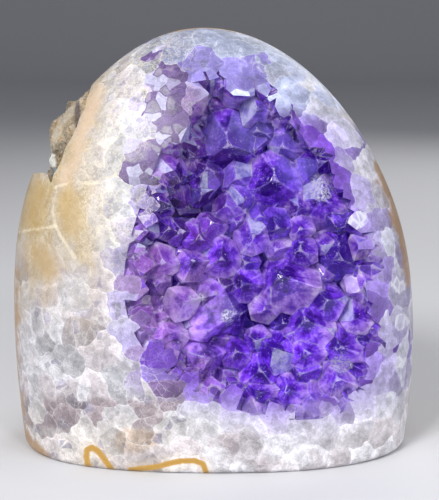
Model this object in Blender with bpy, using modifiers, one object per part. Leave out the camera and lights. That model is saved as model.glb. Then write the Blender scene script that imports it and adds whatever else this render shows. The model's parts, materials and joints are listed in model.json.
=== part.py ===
"""An amethyst geode that stands on a flat cut.

A polished block of pale quartz and agate opens at the front in a hollow, which a crust of purple crystals lines.
The rough host rock is still on the back, and shows at the left where the quartz has broken away.
The hollow faces -Y. The origin is on the floor, in the middle of the block. Lengths are in metres.
"""

import math
import random

import bmesh
import bpy
from mathutils import Euler, Matrix, Vector, noise

MM = 0.001

# The polished block: an egg that is squarer than round in plan, cut flat at the floor
BLOCK_HALF_WIDTH = 52.0 * MM
BLOCK_FRONT_DEPTH = 31.5 * MM
BLOCK_BACK_DEPTH = 32.2 * MM
BLOCK_HEIGHT = 107.4 * MM
WIDEST_HEIGHT = 32.0 * MM
EGG_BELOW_WIDEST = 115.0 * MM
PLAN_SQUARENESS = 2.4
TOP_LEAN = -3.0 * MM
# How full each side is, from the widest level (0) to the top (1)
LEFT_FULLNESS = ((0.0, 1.0), (0.3, 1.015), (0.5, 1.03), (0.7, 0.99), (0.85, 0.92), (1.0, 0.9))
RIGHT_FULLNESS = ((0.0, 1.0), (0.4, 0.985), (0.7, 0.965), (1.0, 0.94))
BLOCK_MIDDLE = Vector((0.0, 0.0, WIDEST_HEIGHT))
CAGE_DIVISIONS = 7
CAGE_OUTSET = 1.012
HAND_GROUND_WAVE = 0.5 * MM
HAND_GROUND_SPAN = 24.0 * MM

# The seam between the polished quartz and the rock behind it
ROCK_SEAM_Y = 9.0 * MM
ROCK_SEAM_WAVE = 2.2 * MM
ROCK_SEAM_SPAN = 17.0 * MM
ROCK_INSET = 1.0 * MM
ROCK_LUMP = 2.0 * MM
ROCK_LUMP_SPAN = 15.0 * MM
ROCK_GRAIN = 0.8 * MM
ROCK_GRAIN_SPAN = 6.0 * MM
FIT_GAP = 0.35 * MM
CRUST_SPARE = 2.0 * MM

# The hollow, let into the front: a pear as the eye sees it, wider below than above, whose ends lean to either side
HOLLOW_MIDDLE = (9.0 * MM, 3.0 * MM)
HOLLOW_HALF_WIDTH = 33.5 * MM
HOLLOW_HALF_HEIGHT = 48.5 * MM
HOLLOW_DEPTH = 23.0 * MM
HOLLOW_NARROWING = 0.38
HOLLOW_SKEW = 12.0 * MM
# The bowl of crystal that lines it
BOWL_WALL = 4.0 * MM

# Quartz: a six-sided prism under six faces that meet the long axis at 38 degrees
FACE_TO_AXIS = math.radians(38.2)
LENGTH_IN_WIDTHS = 2.1

# The places on the front are given as the eye sees them from a point in front of the block and a little above.
# Across and up are measured from the middle of that view, on the upright plane through the block's middle.
EYE_DISTANCE = 330.0 * MM
EYE_TILT = math.radians(10.0)
EYE_TARGET = Vector((1.3, 0.0, 50.2)) * MM

# The large crystals: across, up, width in mm, lean to the right and upwards in degrees, turn about the long axis
# in degrees, and how far the tip lies under the polished face in mm. A tip above the face is ground flush.
LARGE_CRYSTALS = (
    (2.2, 27.0, 13.5, 0, -8, 10, 4.0),
    (14.2, 18.2, 12.5, 5, 5, 0, 3.5),
    (16.0, -6.5, 14.0, -14, 10, 20, 2.5),
    (4.3, -16.1, 15.5, 30, -2, 5, 4.0),
    (30.8, -2.1, 10.5, 3, -8, 0, 2.2),
    (-7.2, 37.4, 9.0, 5, -10, 30, 3.0),
    (22.2, -18.5, 12.0, -5, 8, 15, 2.6),
    (31.1, -25.0, 11.5, 0, 0, 10, 1.4),
    (-13.7, -21.6, 9.5, 5, 5, 25, 0.8),
    (-21.2, -18.2, 9.0, -5, 0, 0, -0.3),
    (-3.0, -28.1, 11.0, 15, -5, 40, 2.6),
    (27.7, -12.7, 8.5, 5, 10, 35, 2.2),
    (19.9, 33.3, 11.5, 5, -10, 15, 1.3),
    (25.6, 22.4, 10.5, 5, 0, 45, 2.2),
    (26.7, 13.5, 12.5, 0, 5, 0, 1.8),
    (10.0, 36.4, 9.5, 0, -5, 20, 1.8),
    (3.3, 41.1, 10.0, -5, -5, 50, 1.3),
    (-2.7, 45.8, 6.5, 0, 0, 10, 0.4),
    (16.5, 27.0, 7.5, -10, -5, 0, 5.5),
    (-3.5, 21.3, 8.5, 5, 20, 12, 6.0),
    (-11.6, 17.9, 10.0, 20, 10, 33, 5.5),
    (-13.7, 26.5, 8.5, 10, 0, 0, 1.3),
    (-6.9, 29.6, 6.5, 15, 0, 20, 5.0),
    (4.3, 18.7, 7.0, -5, 0, 14, 6.5),
    (6.4, 13.5, 6.5, 10, -5, 40, 6.0),
    (1.7, 11.7, 7.0, -10, 8, 5, 6.5),
    (-2.0, 7.0, 7.0, 10, 15, 25, 6.0),
    (-5.3, 3.1, 8.0, 15, 0, 0, 5.2),
    (-9.5, 4.9, 6.0, 20, 5, 30, 5.0),
    (8.5, 3.6, 8.0, 0, 0, 48, 5.2),
    (15.0, 6.2, 7.5, 5, -5, 22, 4.4),
    (20.7, 0.3, 7.5, -5, 5, 0, 3.6),
    (21.2, 5.7, 5.5, 0, 0, 20, 4.0),
    (38.4, -8.8, 9.5, 5, 0, 30, 0.3),
    (35.2, -17.2, 9.0, 0, 0, 8, 1.6),
    (13.9, -25.7, 10.5, -5, 5, 50, 2.6),
    (10.5, -31.2, 9.5, 0, 5, 10, 2.2),
    (22.5, -27.0, 9.0, 5, 0, 28, 2.2),
    (39.9, -30.4, 10.0, 0, 0, 0, -0.3),
    (17.8, -36.4, 9.5, 0, 8, 18, 0.9),
    (9.8, -37.4, 8.0, -5, 5, 44, 0.8),
    (23.8, -38.0, 8.0, 0, 10, 0, 0.8),
    (3.3, -35.9, 7.0, -5, 10, 30, 2.6),
    (30.6, -33.5, 8.0, 5, 10, 15, 0.9),
    (33.9, -40.6, 11.0, 0, 0, 38, -0.5),
    (-18.1, -29.6, 11.0, 0, 0, 12, -0.5),
    (-11.8, -28.1, 5.5, 10, 0, 0, 2.2),
    (4.3, -26.0, 6.5, 0, 10, 20, 5.0),
    (-9.2, -13.8, 7.5, 10, 0, 40, 1.8),
    (-12.1, 46.8, 6.0, 0, 0, 0, -0.4),
    (-7.7, 45.8, 6.0, 0, 0, 20, -0.4),
    (-18.1, 17.2, 5.5, 10, 0, 10, 0.4),
    (-18.9, 11.2, 5.5, 5, 0, 35, 0.3),
    (-18.9, 5.5, 5.5, 5, 0, 0, 0.4),
    (-14.7, 10.4, 6.5, 20, 0, 22, 3.4),
    (-12.9, 5.7, 5.5, 15, 0, 8, 3.4),
    (-14.7, -3.1, 8.0, 10, 0, 10, 1.3),
    (-6.9, -3.1, 7.5, 10, 10, 35, 3.4),
    (0.7, -2.1, 8.5, 0, 0, 0, 4.6),
    (6.1, -8.8, 8.5, -5, 0, 27, 6.0),
    (11.6, -15.1, 6.5, 0, 0, 15, 5.6),
    (29.0, 31.2, 8.5, 0, 0, 30, -0.3),
    (2.2, 47.3, 8.5, 0, 0, 5, -1.0),
    (12.9, 44.7, 9.0, 0, 0, 25, -1.0),
    (23.3, 40.6, 7.5, 0, 0, 50, -1.0),
    (36.0, 8.1, 5.5, 0, 0, 12, -0.8),
    (36.5, 1.0, 5.5, 0, 0, 40, -0.3),
    (-12.9, -36.9, 8.5, 0, 0, 20, -0.8),
    (-4.3, -38.5, 8.5, 0, 0, 48, -0.8),
)

# The small crystals that cover the hollow's wall between the large ones
SMALL_CRYSTALS = 42
SMALL_WIDTH = (4.5 * MM, 7.5 * MM)
SMALL_SPACING = 5.6 * MM
SEED = 11

# The piece that has broken away at the upper left, as the eye sees its edge: across and up, in mm
BREAK_EDGE = (
    (-31.9, 44.5), (-32.3, 39.0), (-33.2, 35.1), (-34.4, 32.6), (-35.2, 29.6), (-37.4, 25.2), (-38.4, 22.2),
    (-40.2, 18.9), (-41.3, 16.2), (-42.4, 18.3), (-44.4, 19.2), (-47.6, 19.6), (-48.4, 18.0), (-49.6, 17.4),
    (-60.0, 16.6), (-62.0, 60.0), (-34.0, 60.0),
)
BREAK_CUT_HALF_LENGTH = 70.0 * MM
# The lump of host rock that stands in the break
LUMP_CENTRE = Vector((-31.3, 4.0, 78.5)) * MM
LUMP_HALF = Vector((11.0, 12.0, 14.5)) * MM
LUMP_TURN = math.radians(25.0)


def material(name, colour, roughness):
    """A plain material of one colour."""
    made = bpy.data.materials.new(name)
    made.use_nodes = True
    shader = made.node_tree.nodes["Principled BSDF"]
    shader.inputs["Base Color"].default_value = (*colour, 1.0)
    shader.inputs["Roughness"].default_value = roughness
    shader.inputs["Metallic"].default_value = 0.0
    return made


def collection(name):
    made = bpy.data.collections.new(name)
    bpy.context.scene.collection.children.link(made)
    return made


def mesh_object(name, bm, group, location=(0, 0, 0)):
    """Makes a bmesh into an object of the given collection."""
    mesh = bpy.data.meshes.new(name)
    bm.to_mesh(mesh)
    bm.free()
    made = bpy.data.objects.new(name, mesh)
    made.location = location
    group.objects.link(made)
    return made


def as_helper(obj):
    """A cutter or a guide is seen as wire in the viewport and not at all in a render."""
    obj.hide_render = True
    obj.display_type = "WIRE"
    return obj


def freeze(obj):
    """Replaces an object's mesh by the one that its modifiers make, and drops them."""
    bpy.context.view_layer.update()
    seen = obj.evaluated_get(bpy.context.evaluated_depsgraph_get())
    made = bpy.data.meshes.new_from_object(seen)
    obj.modifiers.clear()
    obj.data = made
    return obj


def combine(obj, operation, other, is_group=False):
    """One Boolean with another object, or with a whole collection, applied at once."""
    modifier = obj.modifiers.new(operation.title(), "BOOLEAN")
    modifier.operation = operation
    modifier.solver = "EXACT"
    if is_group:
        modifier.operand_type = "COLLECTION"
        modifier.collection = other
    else:
        modifier.object = other
    return freeze(obj)


def clean(obj):
    """Drops the pockets closed in between crystals and any chip that a cut has set free, and joins doubled points."""
    bm = bmesh.new()
    bm.from_mesh(obj.data)
    waiting = set(bm.faces)
    skins = []
    while waiting:
        skin, edge_of_skin = [], [waiting.pop()]
        while edge_of_skin:
            face = edge_of_skin.pop()
            skin.append(face)
            near = {other for edge in face.edges for other in edge.link_faces} & waiting
            waiting -= near
            edge_of_skin.extend(near)
        skins.append(skin)
    skins.sort(key=lambda skin: sum(face.calc_area() for face in skin))
    bmesh.ops.delete(bm, geom=[face for skin in skins[:-1] for face in skin], context="FACES")
    bmesh.ops.triangulate(bm, faces=bm.faces)
    bmesh.ops.remove_doubles(bm, verts=bm.verts, dist=0.003 * MM)
    bm.to_mesh(obj.data)
    bm.free()


def between(table, at):
    """Reads a table of (place, value) pairs by straight lines between its places."""
    for (low, low_value), (high, high_value) in zip(table, table[1:]):
        if at <= high:
            return low_value + (high_value - low_value) * max(at - low, 0.0) / (high - low)
    return table[-1][1]


def block_half_sizes(x, y, rise):
    """Half the width and half the depth of the block on the side of x and y. Rise is 0 at the widest level."""
    fullness = between(LEFT_FULLNESS if x < 0 else RIGHT_FULLNESS, max(rise, 0.0))
    return BLOCK_HALF_WIDTH * fullness, BLOCK_FRONT_DEPTH if y < 0 else BLOCK_BACK_DEPTH


def on_block(direction):
    """The point of the block's surface in this direction, which is a unit vector from the widest level."""
    round_part = math.hypot(direction.x, direction.y)
    half_width, half_depth = block_half_sizes(direction.x, direction.y, direction.z)
    height = BLOCK_HEIGHT - WIDEST_HEIGHT if direction.z > 0 else EGG_BELOW_WIDEST
    squared = 0.0
    if round_part > 1e-6:
        across, deep = abs(direction.x) / round_part, abs(direction.y) / round_part
        squared = (across**PLAN_SQUARENESS + deep**PLAN_SQUARENESS) ** (-1.0 / PLAN_SQUARENESS)
    return Vector((
        direction.x * squared * half_width + TOP_LEAN * max(direction.z, 0.0) ** 2,
        direction.y * squared * half_depth,
        WIDEST_HEIGHT + direction.z * height,
    ))


def depth_in_block(point):
    """Below 1 inside the block, 1 on its surface, and above 1 outside."""
    height = BLOCK_HEIGHT - WIDEST_HEIGHT if point.z > WIDEST_HEIGHT else EGG_BELOW_WIDEST
    rise = (point.z - WIDEST_HEIGHT) / height
    x = point.x - TOP_LEAN * max(rise, 0.0) ** 2
    half_width, half_depth = block_half_sizes(x, point.y, rise)
    plan = (abs(x) / half_width) ** PLAN_SQUARENESS + (abs(point.y) / half_depth) ** PLAN_SQUARENESS
    return plan ** (2.0 / PLAN_SQUARENESS) + rise**2


def ball_cage(divisions):
    """A cube of even squares blown up to a unit ball, so that no point of it is a pole."""
    bm = bmesh.new()
    bmesh.ops.create_cube(bm, size=2.0)
    bmesh.ops.subdivide_edges(bm, edges=bm.edges, cuts=divisions - 1, use_grid_fill=True)
    for vert in bm.verts:
        vert.co = Vector([math.tan(c * math.pi / 4.0) for c in vert.co]).normalized()
    return bm


def egg(name, group, wave, span, inset=0.0):
    """The block's outer form, uncut, with a slow wave in its surface."""
    bm = ball_cage(CAGE_DIVISIONS)
    for vert in bm.verts:
        outward = vert.co.copy()
        point = BLOCK_MIDDLE + (on_block(outward) - BLOCK_MIDDLE) * CAGE_OUTSET
        vert.co = point + outward * (wave * noise.noise(point / span) - inset)
    made = mesh_object(name, bm, group)
    rounding = made.modifiers.new("Rounding", "SUBSURF")
    rounding.levels = rounding.render_levels = 1
    return freeze(made)


def roughen(obj):
    """Moves each point of a rock in or out by a fine grain."""
    for vert in obj.data.vertices:
        outward = vert.normal.copy()
        vert.co += outward * ROCK_GRAIN * noise.noise(vert.co / ROCK_GRAIN_SPAN)


def box(name, group, low, high, cuts=0):
    """A box between two corners, with its faces divided."""
    bm = bmesh.new()
    bmesh.ops.create_cube(bm, size=1.0)
    if cuts:
        bmesh.ops.subdivide_edges(bm, edges=bm.edges, cuts=cuts, use_grid_fill=True)
        bmesh.ops.triangulate(bm, faces=bm.faces, quad_method="FIXED")
    low, high = Vector(low), Vector(high)
    for vert in bm.verts:
        share = vert.co + Vector((0.5, 0.5, 0.5))
        vert.co = Vector(low[i] + (high[i] - low[i]) * share[i] for i in range(3))
    return mesh_object(name, bm, group)


def rock_side(name, group, gap):
    """Everything behind the seam between quartz and rock, whose front is wavy."""
    low = (-80 * MM, ROCK_SEAM_Y + gap, -20 * MM)
    made = box(name, group, low, (80 * MM, 70 * MM, 130 * MM), cuts=13)
    for vert in made.data.vertices:
        if abs(vert.co.y - low[1]) < 0.1 * MM:
            here = Vector((vert.co.x, 0.0, vert.co.z))
            vert.co.y += ROCK_SEAM_WAVE * noise.noise(here / ROCK_SEAM_SPAN)
    return as_helper(made)


def eye_frame():
    """Where the eye is, and its directions to the right, up and back towards it."""
    back = Vector((0.0, -math.cos(EYE_TILT), math.sin(EYE_TILT)))
    right = Vector((1.0, 0.0, 0.0))
    return EYE_TARGET + back * EYE_DISTANCE, right, back.cross(right), back


def seen_at(across, up):
    """The point of the polished face that the eye sees at this place of its view."""
    eye, right, above, _ = eye_frame()
    goal = EYE_TARGET + right * across + above * up
    near, far = 0.5, 1.0
    for _ in range(40):
        middle = (near + far) / 2.0
        if depth_in_block(eye.lerp(goal, middle)) > 1.0:
            near = middle
        else:
            far = middle
    return eye.lerp(goal, far)


def inset_outline(points, distance):
    """Moves each side of a clockwise outline inwards by the same distance."""
    moved = []
    for before, here, after in zip(points[-1:] + points[:-1], points, points[1:] + points[:1]):
        arriving, leaving = (here - before).normalized(), (after - here).normalized()
        inward = Vector((arriving.y + leaving.y, -arriving.x - leaving.x)).normalized()
        to_side = inward.dot(Vector((leaving.y, -leaving.x)))
        moved.append(here + inward * distance / max(to_side, 0.4))
    return moved


def in_hollow(ball, shrink):
    """Carries a point of a unit ball to the hollow: x is to the right, z is up, and y is into the block."""
    across = HOLLOW_MIDDLE[0] + (HOLLOW_HALF_WIDTH - shrink) * (1.0 - HOLLOW_NARROWING * ball.z) * ball.x
    up = HOLLOW_MIDDLE[1] + (HOLLOW_HALF_HEIGHT - shrink) * ball.z
    face = seen_at(across - HOLLOW_SKEW * ball.z**3, up)
    inward = (face - eye_frame()[0]).normalized()
    return face + inward * (HOLLOW_DEPTH - shrink) * ball.y


def pear(name, group, shrink):
    """The form of the hollow, smaller all round by the given length."""
    bm = bmesh.new()
    bmesh.ops.create_icosphere(bm, subdivisions=4, radius=1.0)
    for vert in bm.verts:
        vert.co = in_hollow(vert.co.normalized(), shrink)
    bmesh.ops.recalc_face_normals(bm, faces=bm.faces)
    return as_helper(mesh_object(name, bm, group))


def break_prism(name, group, shrink):
    """What has broken away: its outline as the eye sees it, drawn out along the line of sight."""
    _, right, above, back = eye_frame()
    corners = inset_outline([Vector(corner) * MM for corner in BREAK_EDGE], shrink)
    outline = bpy.data.curves.new(name, "CURVE")
    outline.dimensions = "2D"
    outline.fill_mode = "BOTH"
    outline.extrude = BREAK_CUT_HALF_LENGTH
    line = outline.splines.new("POLY")
    line.points.add(len(BREAK_EDGE) - 1)
    line.use_cyclic_u = True
    for point, corner in zip(line.points, corners):
        point.co = (corner.x, corner.y, 0.0, 1.0)
    drawn = bpy.data.objects.new(name + "_outline", outline)
    group.objects.link(drawn)
    axes = Matrix((right, above, back)).transposed().to_4x4()
    drawn.matrix_world = Matrix.Translation(EYE_TARGET) @ axes
    bpy.context.view_layer.update()
    seen = drawn.evaluated_get(bpy.context.evaluated_depsgraph_get())
    made = bpy.data.objects.new(name, bpy.data.meshes.new_from_object(seen))
    group.objects.link(made)
    made.matrix_world = drawn.matrix_world.copy()
    bpy.data.objects.remove(drawn)
    bm = bmesh.new()
    bm.from_mesh(made.data)
    bmesh.ops.remove_doubles(bm, verts=bm.verts, dist=0.01 * MM)
    bmesh.ops.recalc_face_normals(bm, faces=bm.faces)
    bm.to_mesh(made.data)
    bm.free()
    return as_helper(made)


def crystal(name, group, tip, axis, turn, width, seed):
    """A quartz crystal with its tip at the given point: a six-sided prism cut to a point by six sloping faces."""
    chance = random.Random(seed)
    length = width * LENGTH_IN_WIDTHS
    bm = bmesh.new()
    corner_radius = width / 2.0 / math.cos(math.pi / 6.0)
    bmesh.ops.create_cone(
        bm, cap_ends=True, segments=6, radius1=corner_radius, radius2=corner_radius, depth=length,
        matrix=Matrix.Translation((0.0, 0.0, -length / 2.0)),
    )
    for side in range(6):
        angle = math.radians(30 + 60 * side)
        slope = FACE_TO_AXIS
        normal = Vector((
            math.cos(angle) * math.cos(slope), math.sin(angle) * math.cos(slope), math.sin(slope),
        ))
        # Three of the six faces grow large, and the other three stay small and stand back
        stand_back = width * (chance.uniform(0.03, 0.12) if side % 2 else chance.uniform(0.0, 0.03))
        bmesh.ops.bisect_plane(
            bm, geom=bm.verts[:] + bm.edges[:] + bm.faces[:], dist=1e-7,
            plane_co=normal * stand_back, plane_no=normal, clear_outer=True,
        )
        bmesh.ops.holes_fill(bm, edges=[edge for edge in bm.edges if edge.is_boundary], sides=0)
    bmesh.ops.scale(bm, verts=bm.verts, vec=(chance.uniform(0.92, 1.08), chance.uniform(0.88, 1.0), 1.0))
    made = mesh_object(name, bm, group)
    to_axis = axis.to_track_quat("Z", "Y").to_matrix().to_4x4()
    made.matrix_world = Matrix.Translation(tip) @ to_axis @ Matrix.Rotation(math.radians(turn), 4, "Z")
    return as_helper(made)


def large_crystals(group):
    """The crystals that were placed one by one."""
    eye, _, _, _ = eye_frame()
    for number, (across, up, width, lean_right, lean_up, turn, under) in enumerate(LARGE_CRYSTALS):
        face = seen_at(across * MM, up * MM)
        to_eye = (eye - face).normalized()
        tip = face - to_eye * under * MM
        lean = Euler((-math.radians(lean_up), 0.0, math.radians(lean_right)))
        axis = to_eye.copy()
        axis.rotate(lean)
        crystal(f"large_{number}", group, tip, axis, turn, width * MM, SEED + number)


def small_crystals(group):
    """Crystals strewn over the bowl, each pointing out of it."""
    chance = random.Random(SEED)
    feet = []
    while len(feet) < SMALL_CRYSTALS:
        ball = Vector((chance.gauss(0, 1), abs(chance.gauss(0, 1)), chance.gauss(0, 1))).normalized()
        foot = in_hollow(ball, BOWL_WALL)
        if any((foot - other).length < SMALL_SPACING for other in feet):
            continue
        feet.append(foot)
        outward = (in_hollow(ball * 0.6, BOWL_WALL) - foot).normalized()
        wobble = Vector((chance.uniform(-1, 1), chance.uniform(-1.5, 0.0), chance.uniform(-1, 1)))
        axis = (outward + wobble * 0.35).normalized()
        width = chance.uniform(*SMALL_WIDTH)
        tip = foot + axis * width * chance.uniform(0.35, 0.7)
        crystal(f"small_{len(feet)}", group, tip, axis, chance.uniform(0, 60), width, SEED * 100 + len(feet))


def smooth(obj, angle):
    obj.data.shade_smooth()
    obj.data.set_sharp_from_angle(angle=math.radians(angle))


def finish(obj, name, look, group, helpers):
    """Names a finished piece, gives it its material and moves it to the collection of the object."""
    clean(obj)
    obj.name = name
    obj.data.name = name
    obj.data.materials.clear()
    obj.data.materials.append(look)
    obj.hide_render = False
    obj.display_type = "TEXTURED"
    helpers.objects.unlink(obj)
    group.objects.link(obj)


def build():
    for obj in list(bpy.data.objects):
        bpy.data.objects.remove(obj)
    geode = collection("Amethyst_geode")
    helpers = collection("Cutters")
    crystals = collection("Crystal_forms")

    floor_cut = as_helper(box("floor_cut", helpers, (-0.2, -0.2, -0.2), (0.2, 0.2, 0.0)))
    polished = combine(egg("polished", helpers, HAND_GROUND_WAVE, HAND_GROUND_SPAN), "DIFFERENCE", floor_cut)
    as_helper(polished)

    # The polished quartz: the block less the rock's side, the hollow and what has broken away
    quartz = polished.copy()
    quartz.data = polished.data.copy()
    helpers.objects.link(quartz)
    combine(quartz, "DIFFERENCE", rock_side("quartz_back_cut", helpers, 0.0))
    combine(quartz, "DIFFERENCE", pear("hollow_cut", helpers, 0.0))
    combine(quartz, "DIFFERENCE", break_prism("break_cut", helpers, 0.0))

    # The host rock: the rough form behind the seam, joined to the lump of it that stands in the break
    rock = egg("rock_form", helpers, ROCK_LUMP, ROCK_LUMP_SPAN, inset=ROCK_INSET)
    roughen(rock)
    combine(rock, "DIFFERENCE", floor_cut)
    combine(rock, "INTERSECT", rock_side("rock_room", helpers, FIT_GAP))
    ball = bmesh.new()
    bmesh.ops.create_icosphere(ball, subdivisions=3, radius=1.0)
    for vert in ball.verts:
        vert.co = Vector(vert.co[i] * LUMP_HALF[i] for i in range(3))
    bmesh.ops.rotate(ball, verts=ball.verts, matrix=Matrix.Rotation(LUMP_TURN, 3, "Y"))
    bmesh.ops.translate(ball, verts=ball.verts, vec=LUMP_CENTRE)
    lump = mesh_object("lump", ball, helpers)
    roughen(lump)
    combine(lump, "INTERSECT", break_prism("break_room", helpers, FIT_GAP))
    combine(rock, "UNION", as_helper(lump))

    # The crystal crust: a bowl and the crystals on it, kept inside the hollow and ground flush with the block
    crust = pear("crust_form", helpers, -CRUST_SPARE)
    combine(crust, "DIFFERENCE", pear("open_form", helpers, BOWL_WALL))
    large_crystals(crystals)
    small_crystals(crystals)
    combine(crust, "UNION", crystals, is_group=True)
    combine(crust, "INTERSECT", pear("crust_room", helpers, FIT_GAP))
    combine(crust, "INTERSECT", polished)

    finish(quartz, "quartz_shell", material("polished_quartz", (0.78, 0.76, 0.78), 0.18), geode, helpers)
    finish(crust, "amethyst_crust", material("amethyst", (0.25, 0.10, 0.60), 0.08), geode, helpers)
    finish(rock, "host_rock", material("host_rock", (0.36, 0.32, 0.27), 0.85), geode, helpers)
    smooth(quartz, 25)
    smooth(rock, 35)


build()
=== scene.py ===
# %% [markdown]
# # An amethyst geode, from its stored solids to its finished look
#
# The stone is a nodule of agate and quartz that was cut flat underneath, ground to a smooth egg and polished.
# Its front opens in a hollow that purple crystals line. The rough rock it grew in is still on its back.
# The stored part has three plain solids in the right places. This lesson builds each of them again, finely enough to be
# looked at: the polished quartz, the crystals and the rock. Then it lights them and sets the camera.

# %% Load the stored part
import json
import math
import random
from contextlib import contextmanager

import bmesh
import bpy
import numpy as np
from mathutils import Euler, Matrix, Vector, noise

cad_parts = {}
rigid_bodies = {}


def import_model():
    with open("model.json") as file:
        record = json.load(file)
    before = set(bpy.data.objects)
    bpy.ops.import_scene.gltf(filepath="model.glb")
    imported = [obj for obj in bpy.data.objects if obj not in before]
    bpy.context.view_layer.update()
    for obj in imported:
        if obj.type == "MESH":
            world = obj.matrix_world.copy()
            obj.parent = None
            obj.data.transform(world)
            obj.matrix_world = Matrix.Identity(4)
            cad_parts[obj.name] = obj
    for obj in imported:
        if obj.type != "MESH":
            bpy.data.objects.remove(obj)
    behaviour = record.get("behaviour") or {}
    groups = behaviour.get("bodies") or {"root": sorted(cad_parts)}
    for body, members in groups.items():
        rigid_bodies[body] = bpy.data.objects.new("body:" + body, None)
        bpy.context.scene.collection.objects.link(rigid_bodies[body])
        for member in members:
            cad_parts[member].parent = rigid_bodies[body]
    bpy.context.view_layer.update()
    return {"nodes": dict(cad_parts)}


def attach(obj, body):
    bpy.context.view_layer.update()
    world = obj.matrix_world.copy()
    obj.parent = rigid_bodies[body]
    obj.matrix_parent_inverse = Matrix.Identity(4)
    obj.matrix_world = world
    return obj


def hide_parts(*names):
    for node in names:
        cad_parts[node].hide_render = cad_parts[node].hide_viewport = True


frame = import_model()
MM = 0.001
print("stored nodes:", sorted(frame["nodes"]))

# %% [markdown]
# ## Small tools
#
# An operator acts on whatever is selected, so each step below first deselects everything, and then selects the one
# object it works on. Modifiers are applied at once, because the finished meshes are what the part keeps.

# %% Small tools for selecting, joining and cutting


def only(obj):
    """Selects one object, and nothing else, and makes it active."""
    if bpy.context.object and bpy.context.object.mode != "OBJECT":
        bpy.ops.object.mode_set(mode="OBJECT")
    bpy.ops.object.select_all(action="DESELECT")
    bpy.context.view_layer.objects.active = obj
    obj.select_set(True)
    return obj


@contextmanager
def editing(obj):
    """Edit mode with all of the mesh selected, and back to object mode after."""
    only(obj)
    bpy.ops.object.mode_set(mode="EDIT")
    bpy.ops.mesh.select_all(action="SELECT")
    yield
    bpy.ops.object.mode_set(mode="OBJECT")


def face_outwards(obj):
    with editing(obj):
        bpy.ops.mesh.normals_make_consistent(inside=False)
    return obj


def modify(obj, kind, **settings):
    """Adds a modifier with these settings and applies it."""
    only(obj)
    modifier = obj.modifiers.new(kind.title(), kind)
    for name, value in settings.items():
        setattr(modifier, name, value)
    bpy.ops.object.modifier_apply(modifier=modifier.name)
    return obj


def combine(obj, operation, other):
    """Joins to, cuts from or keeps within another object, or all the objects of a collection."""
    if isinstance(other, bpy.types.Collection):
        return modify(
            obj, "BOOLEAN", operation=operation, solver="MANIFOLD", operand_type="COLLECTION", collection=other
        )
    return modify(obj, "BOOLEAN", operation=operation, solver="MANIFOLD", object=other)


def drop(*objects):
    """Removes guides and cutters that have done their work."""
    for obj in objects:
        bpy.data.objects.remove(obj)


def points_of(mesh):
    """The mesh's points as an array."""
    co = np.empty(len(mesh.vertices) * 3)
    mesh.vertices.foreach_get("co", co)
    return co.reshape(-1, 3)


def put_points(mesh, co):
    mesh.vertices.foreach_set("co", co.astype(np.float32).ravel())
    mesh.update()


# %% [markdown]
# ## The form of the polished stone
#
# The real stone was ground against a belt until it was an even egg, a little squarer than round in plan.
# One could sculpt that by eye, but a formula gives the same egg at any fineness, and the stored solid uses the same
# one. The mesh starts as a cube with evenly divided faces, because a ball made from a cube has no poles.

# %% The block's sizes
BLOCK_HALF_WIDTH = 52.0 * MM
BLOCK_FRONT_DEPTH = 31.5 * MM
BLOCK_BACK_DEPTH = 32.2 * MM
BLOCK_HEIGHT = 107.4 * MM
WIDEST_HEIGHT = 32.0 * MM
EGG_BELOW_WIDEST = 115.0 * MM
PLAN_SQUARENESS = 2.4
TOP_LEAN = -3.0 * MM
LEFT_FULLNESS = ((0.0, 1.0), (0.3, 1.015), (0.5, 1.03), (0.7, 0.99), (0.85, 0.92), (1.0, 0.9))
RIGHT_FULLNESS = ((0.0, 1.0), (0.4, 0.985), (0.7, 0.965), (1.0, 0.94))
BLOCK_MIDDLE = Vector((0.0, 0.0, WIDEST_HEIGHT))
CAGE_DIVISIONS = 7
CAGE_OUTSET = 1.012
HAND_GROUND_WAVE = 0.5 * MM
HAND_GROUND_SPAN = 24.0 * MM
BASE_ROUNDING = 1.6 * MM


def between(table, at):
    """Reads a table of (place, value) pairs by straight lines between its places."""
    return float(np.interp(at, [place for place, _ in table], [value for _, value in table]))


def block_half_sizes(x, y, rise):
    """Half the width and half the depth of the block on the side of x and y. Rise is 0 at the widest level."""
    fullness = between(LEFT_FULLNESS if x < 0 else RIGHT_FULLNESS, max(rise, 0.0))
    return BLOCK_HALF_WIDTH * fullness, BLOCK_FRONT_DEPTH if y < 0 else BLOCK_BACK_DEPTH


def on_block(direction):
    """The point of the block's surface in this direction from the widest level."""
    round_part = math.hypot(direction.x, direction.y)
    half_width, half_depth = block_half_sizes(direction.x, direction.y, direction.z)
    height = BLOCK_HEIGHT - WIDEST_HEIGHT if direction.z > 0 else EGG_BELOW_WIDEST
    squared = 0.0
    if round_part > 1e-6:
        across, deep = abs(direction.x) / round_part, abs(direction.y) / round_part
        squared = (across**PLAN_SQUARENESS + deep**PLAN_SQUARENESS) ** (-1.0 / PLAN_SQUARENESS)
    return Vector((
        direction.x * squared * half_width + TOP_LEAN * max(direction.z, 0.0) ** 2,
        direction.y * squared * half_depth,
        WIDEST_HEIGHT + direction.z * height,
    ))


def depth_in_block(point):
    """Below 1 inside the block, 1 on its surface, and above 1 outside."""
    height = BLOCK_HEIGHT - WIDEST_HEIGHT if point.z > WIDEST_HEIGHT else EGG_BELOW_WIDEST
    rise = (point.z - WIDEST_HEIGHT) / height
    x = point.x - TOP_LEAN * max(rise, 0.0) ** 2
    half_width, half_depth = block_half_sizes(x, point.y, rise)
    plan = (abs(x) / half_width) ** PLAN_SQUARENESS + (abs(point.y) / half_depth) ** PLAN_SQUARENESS
    return plan ** (2.0 / PLAN_SQUARENESS) + rise**2


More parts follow.
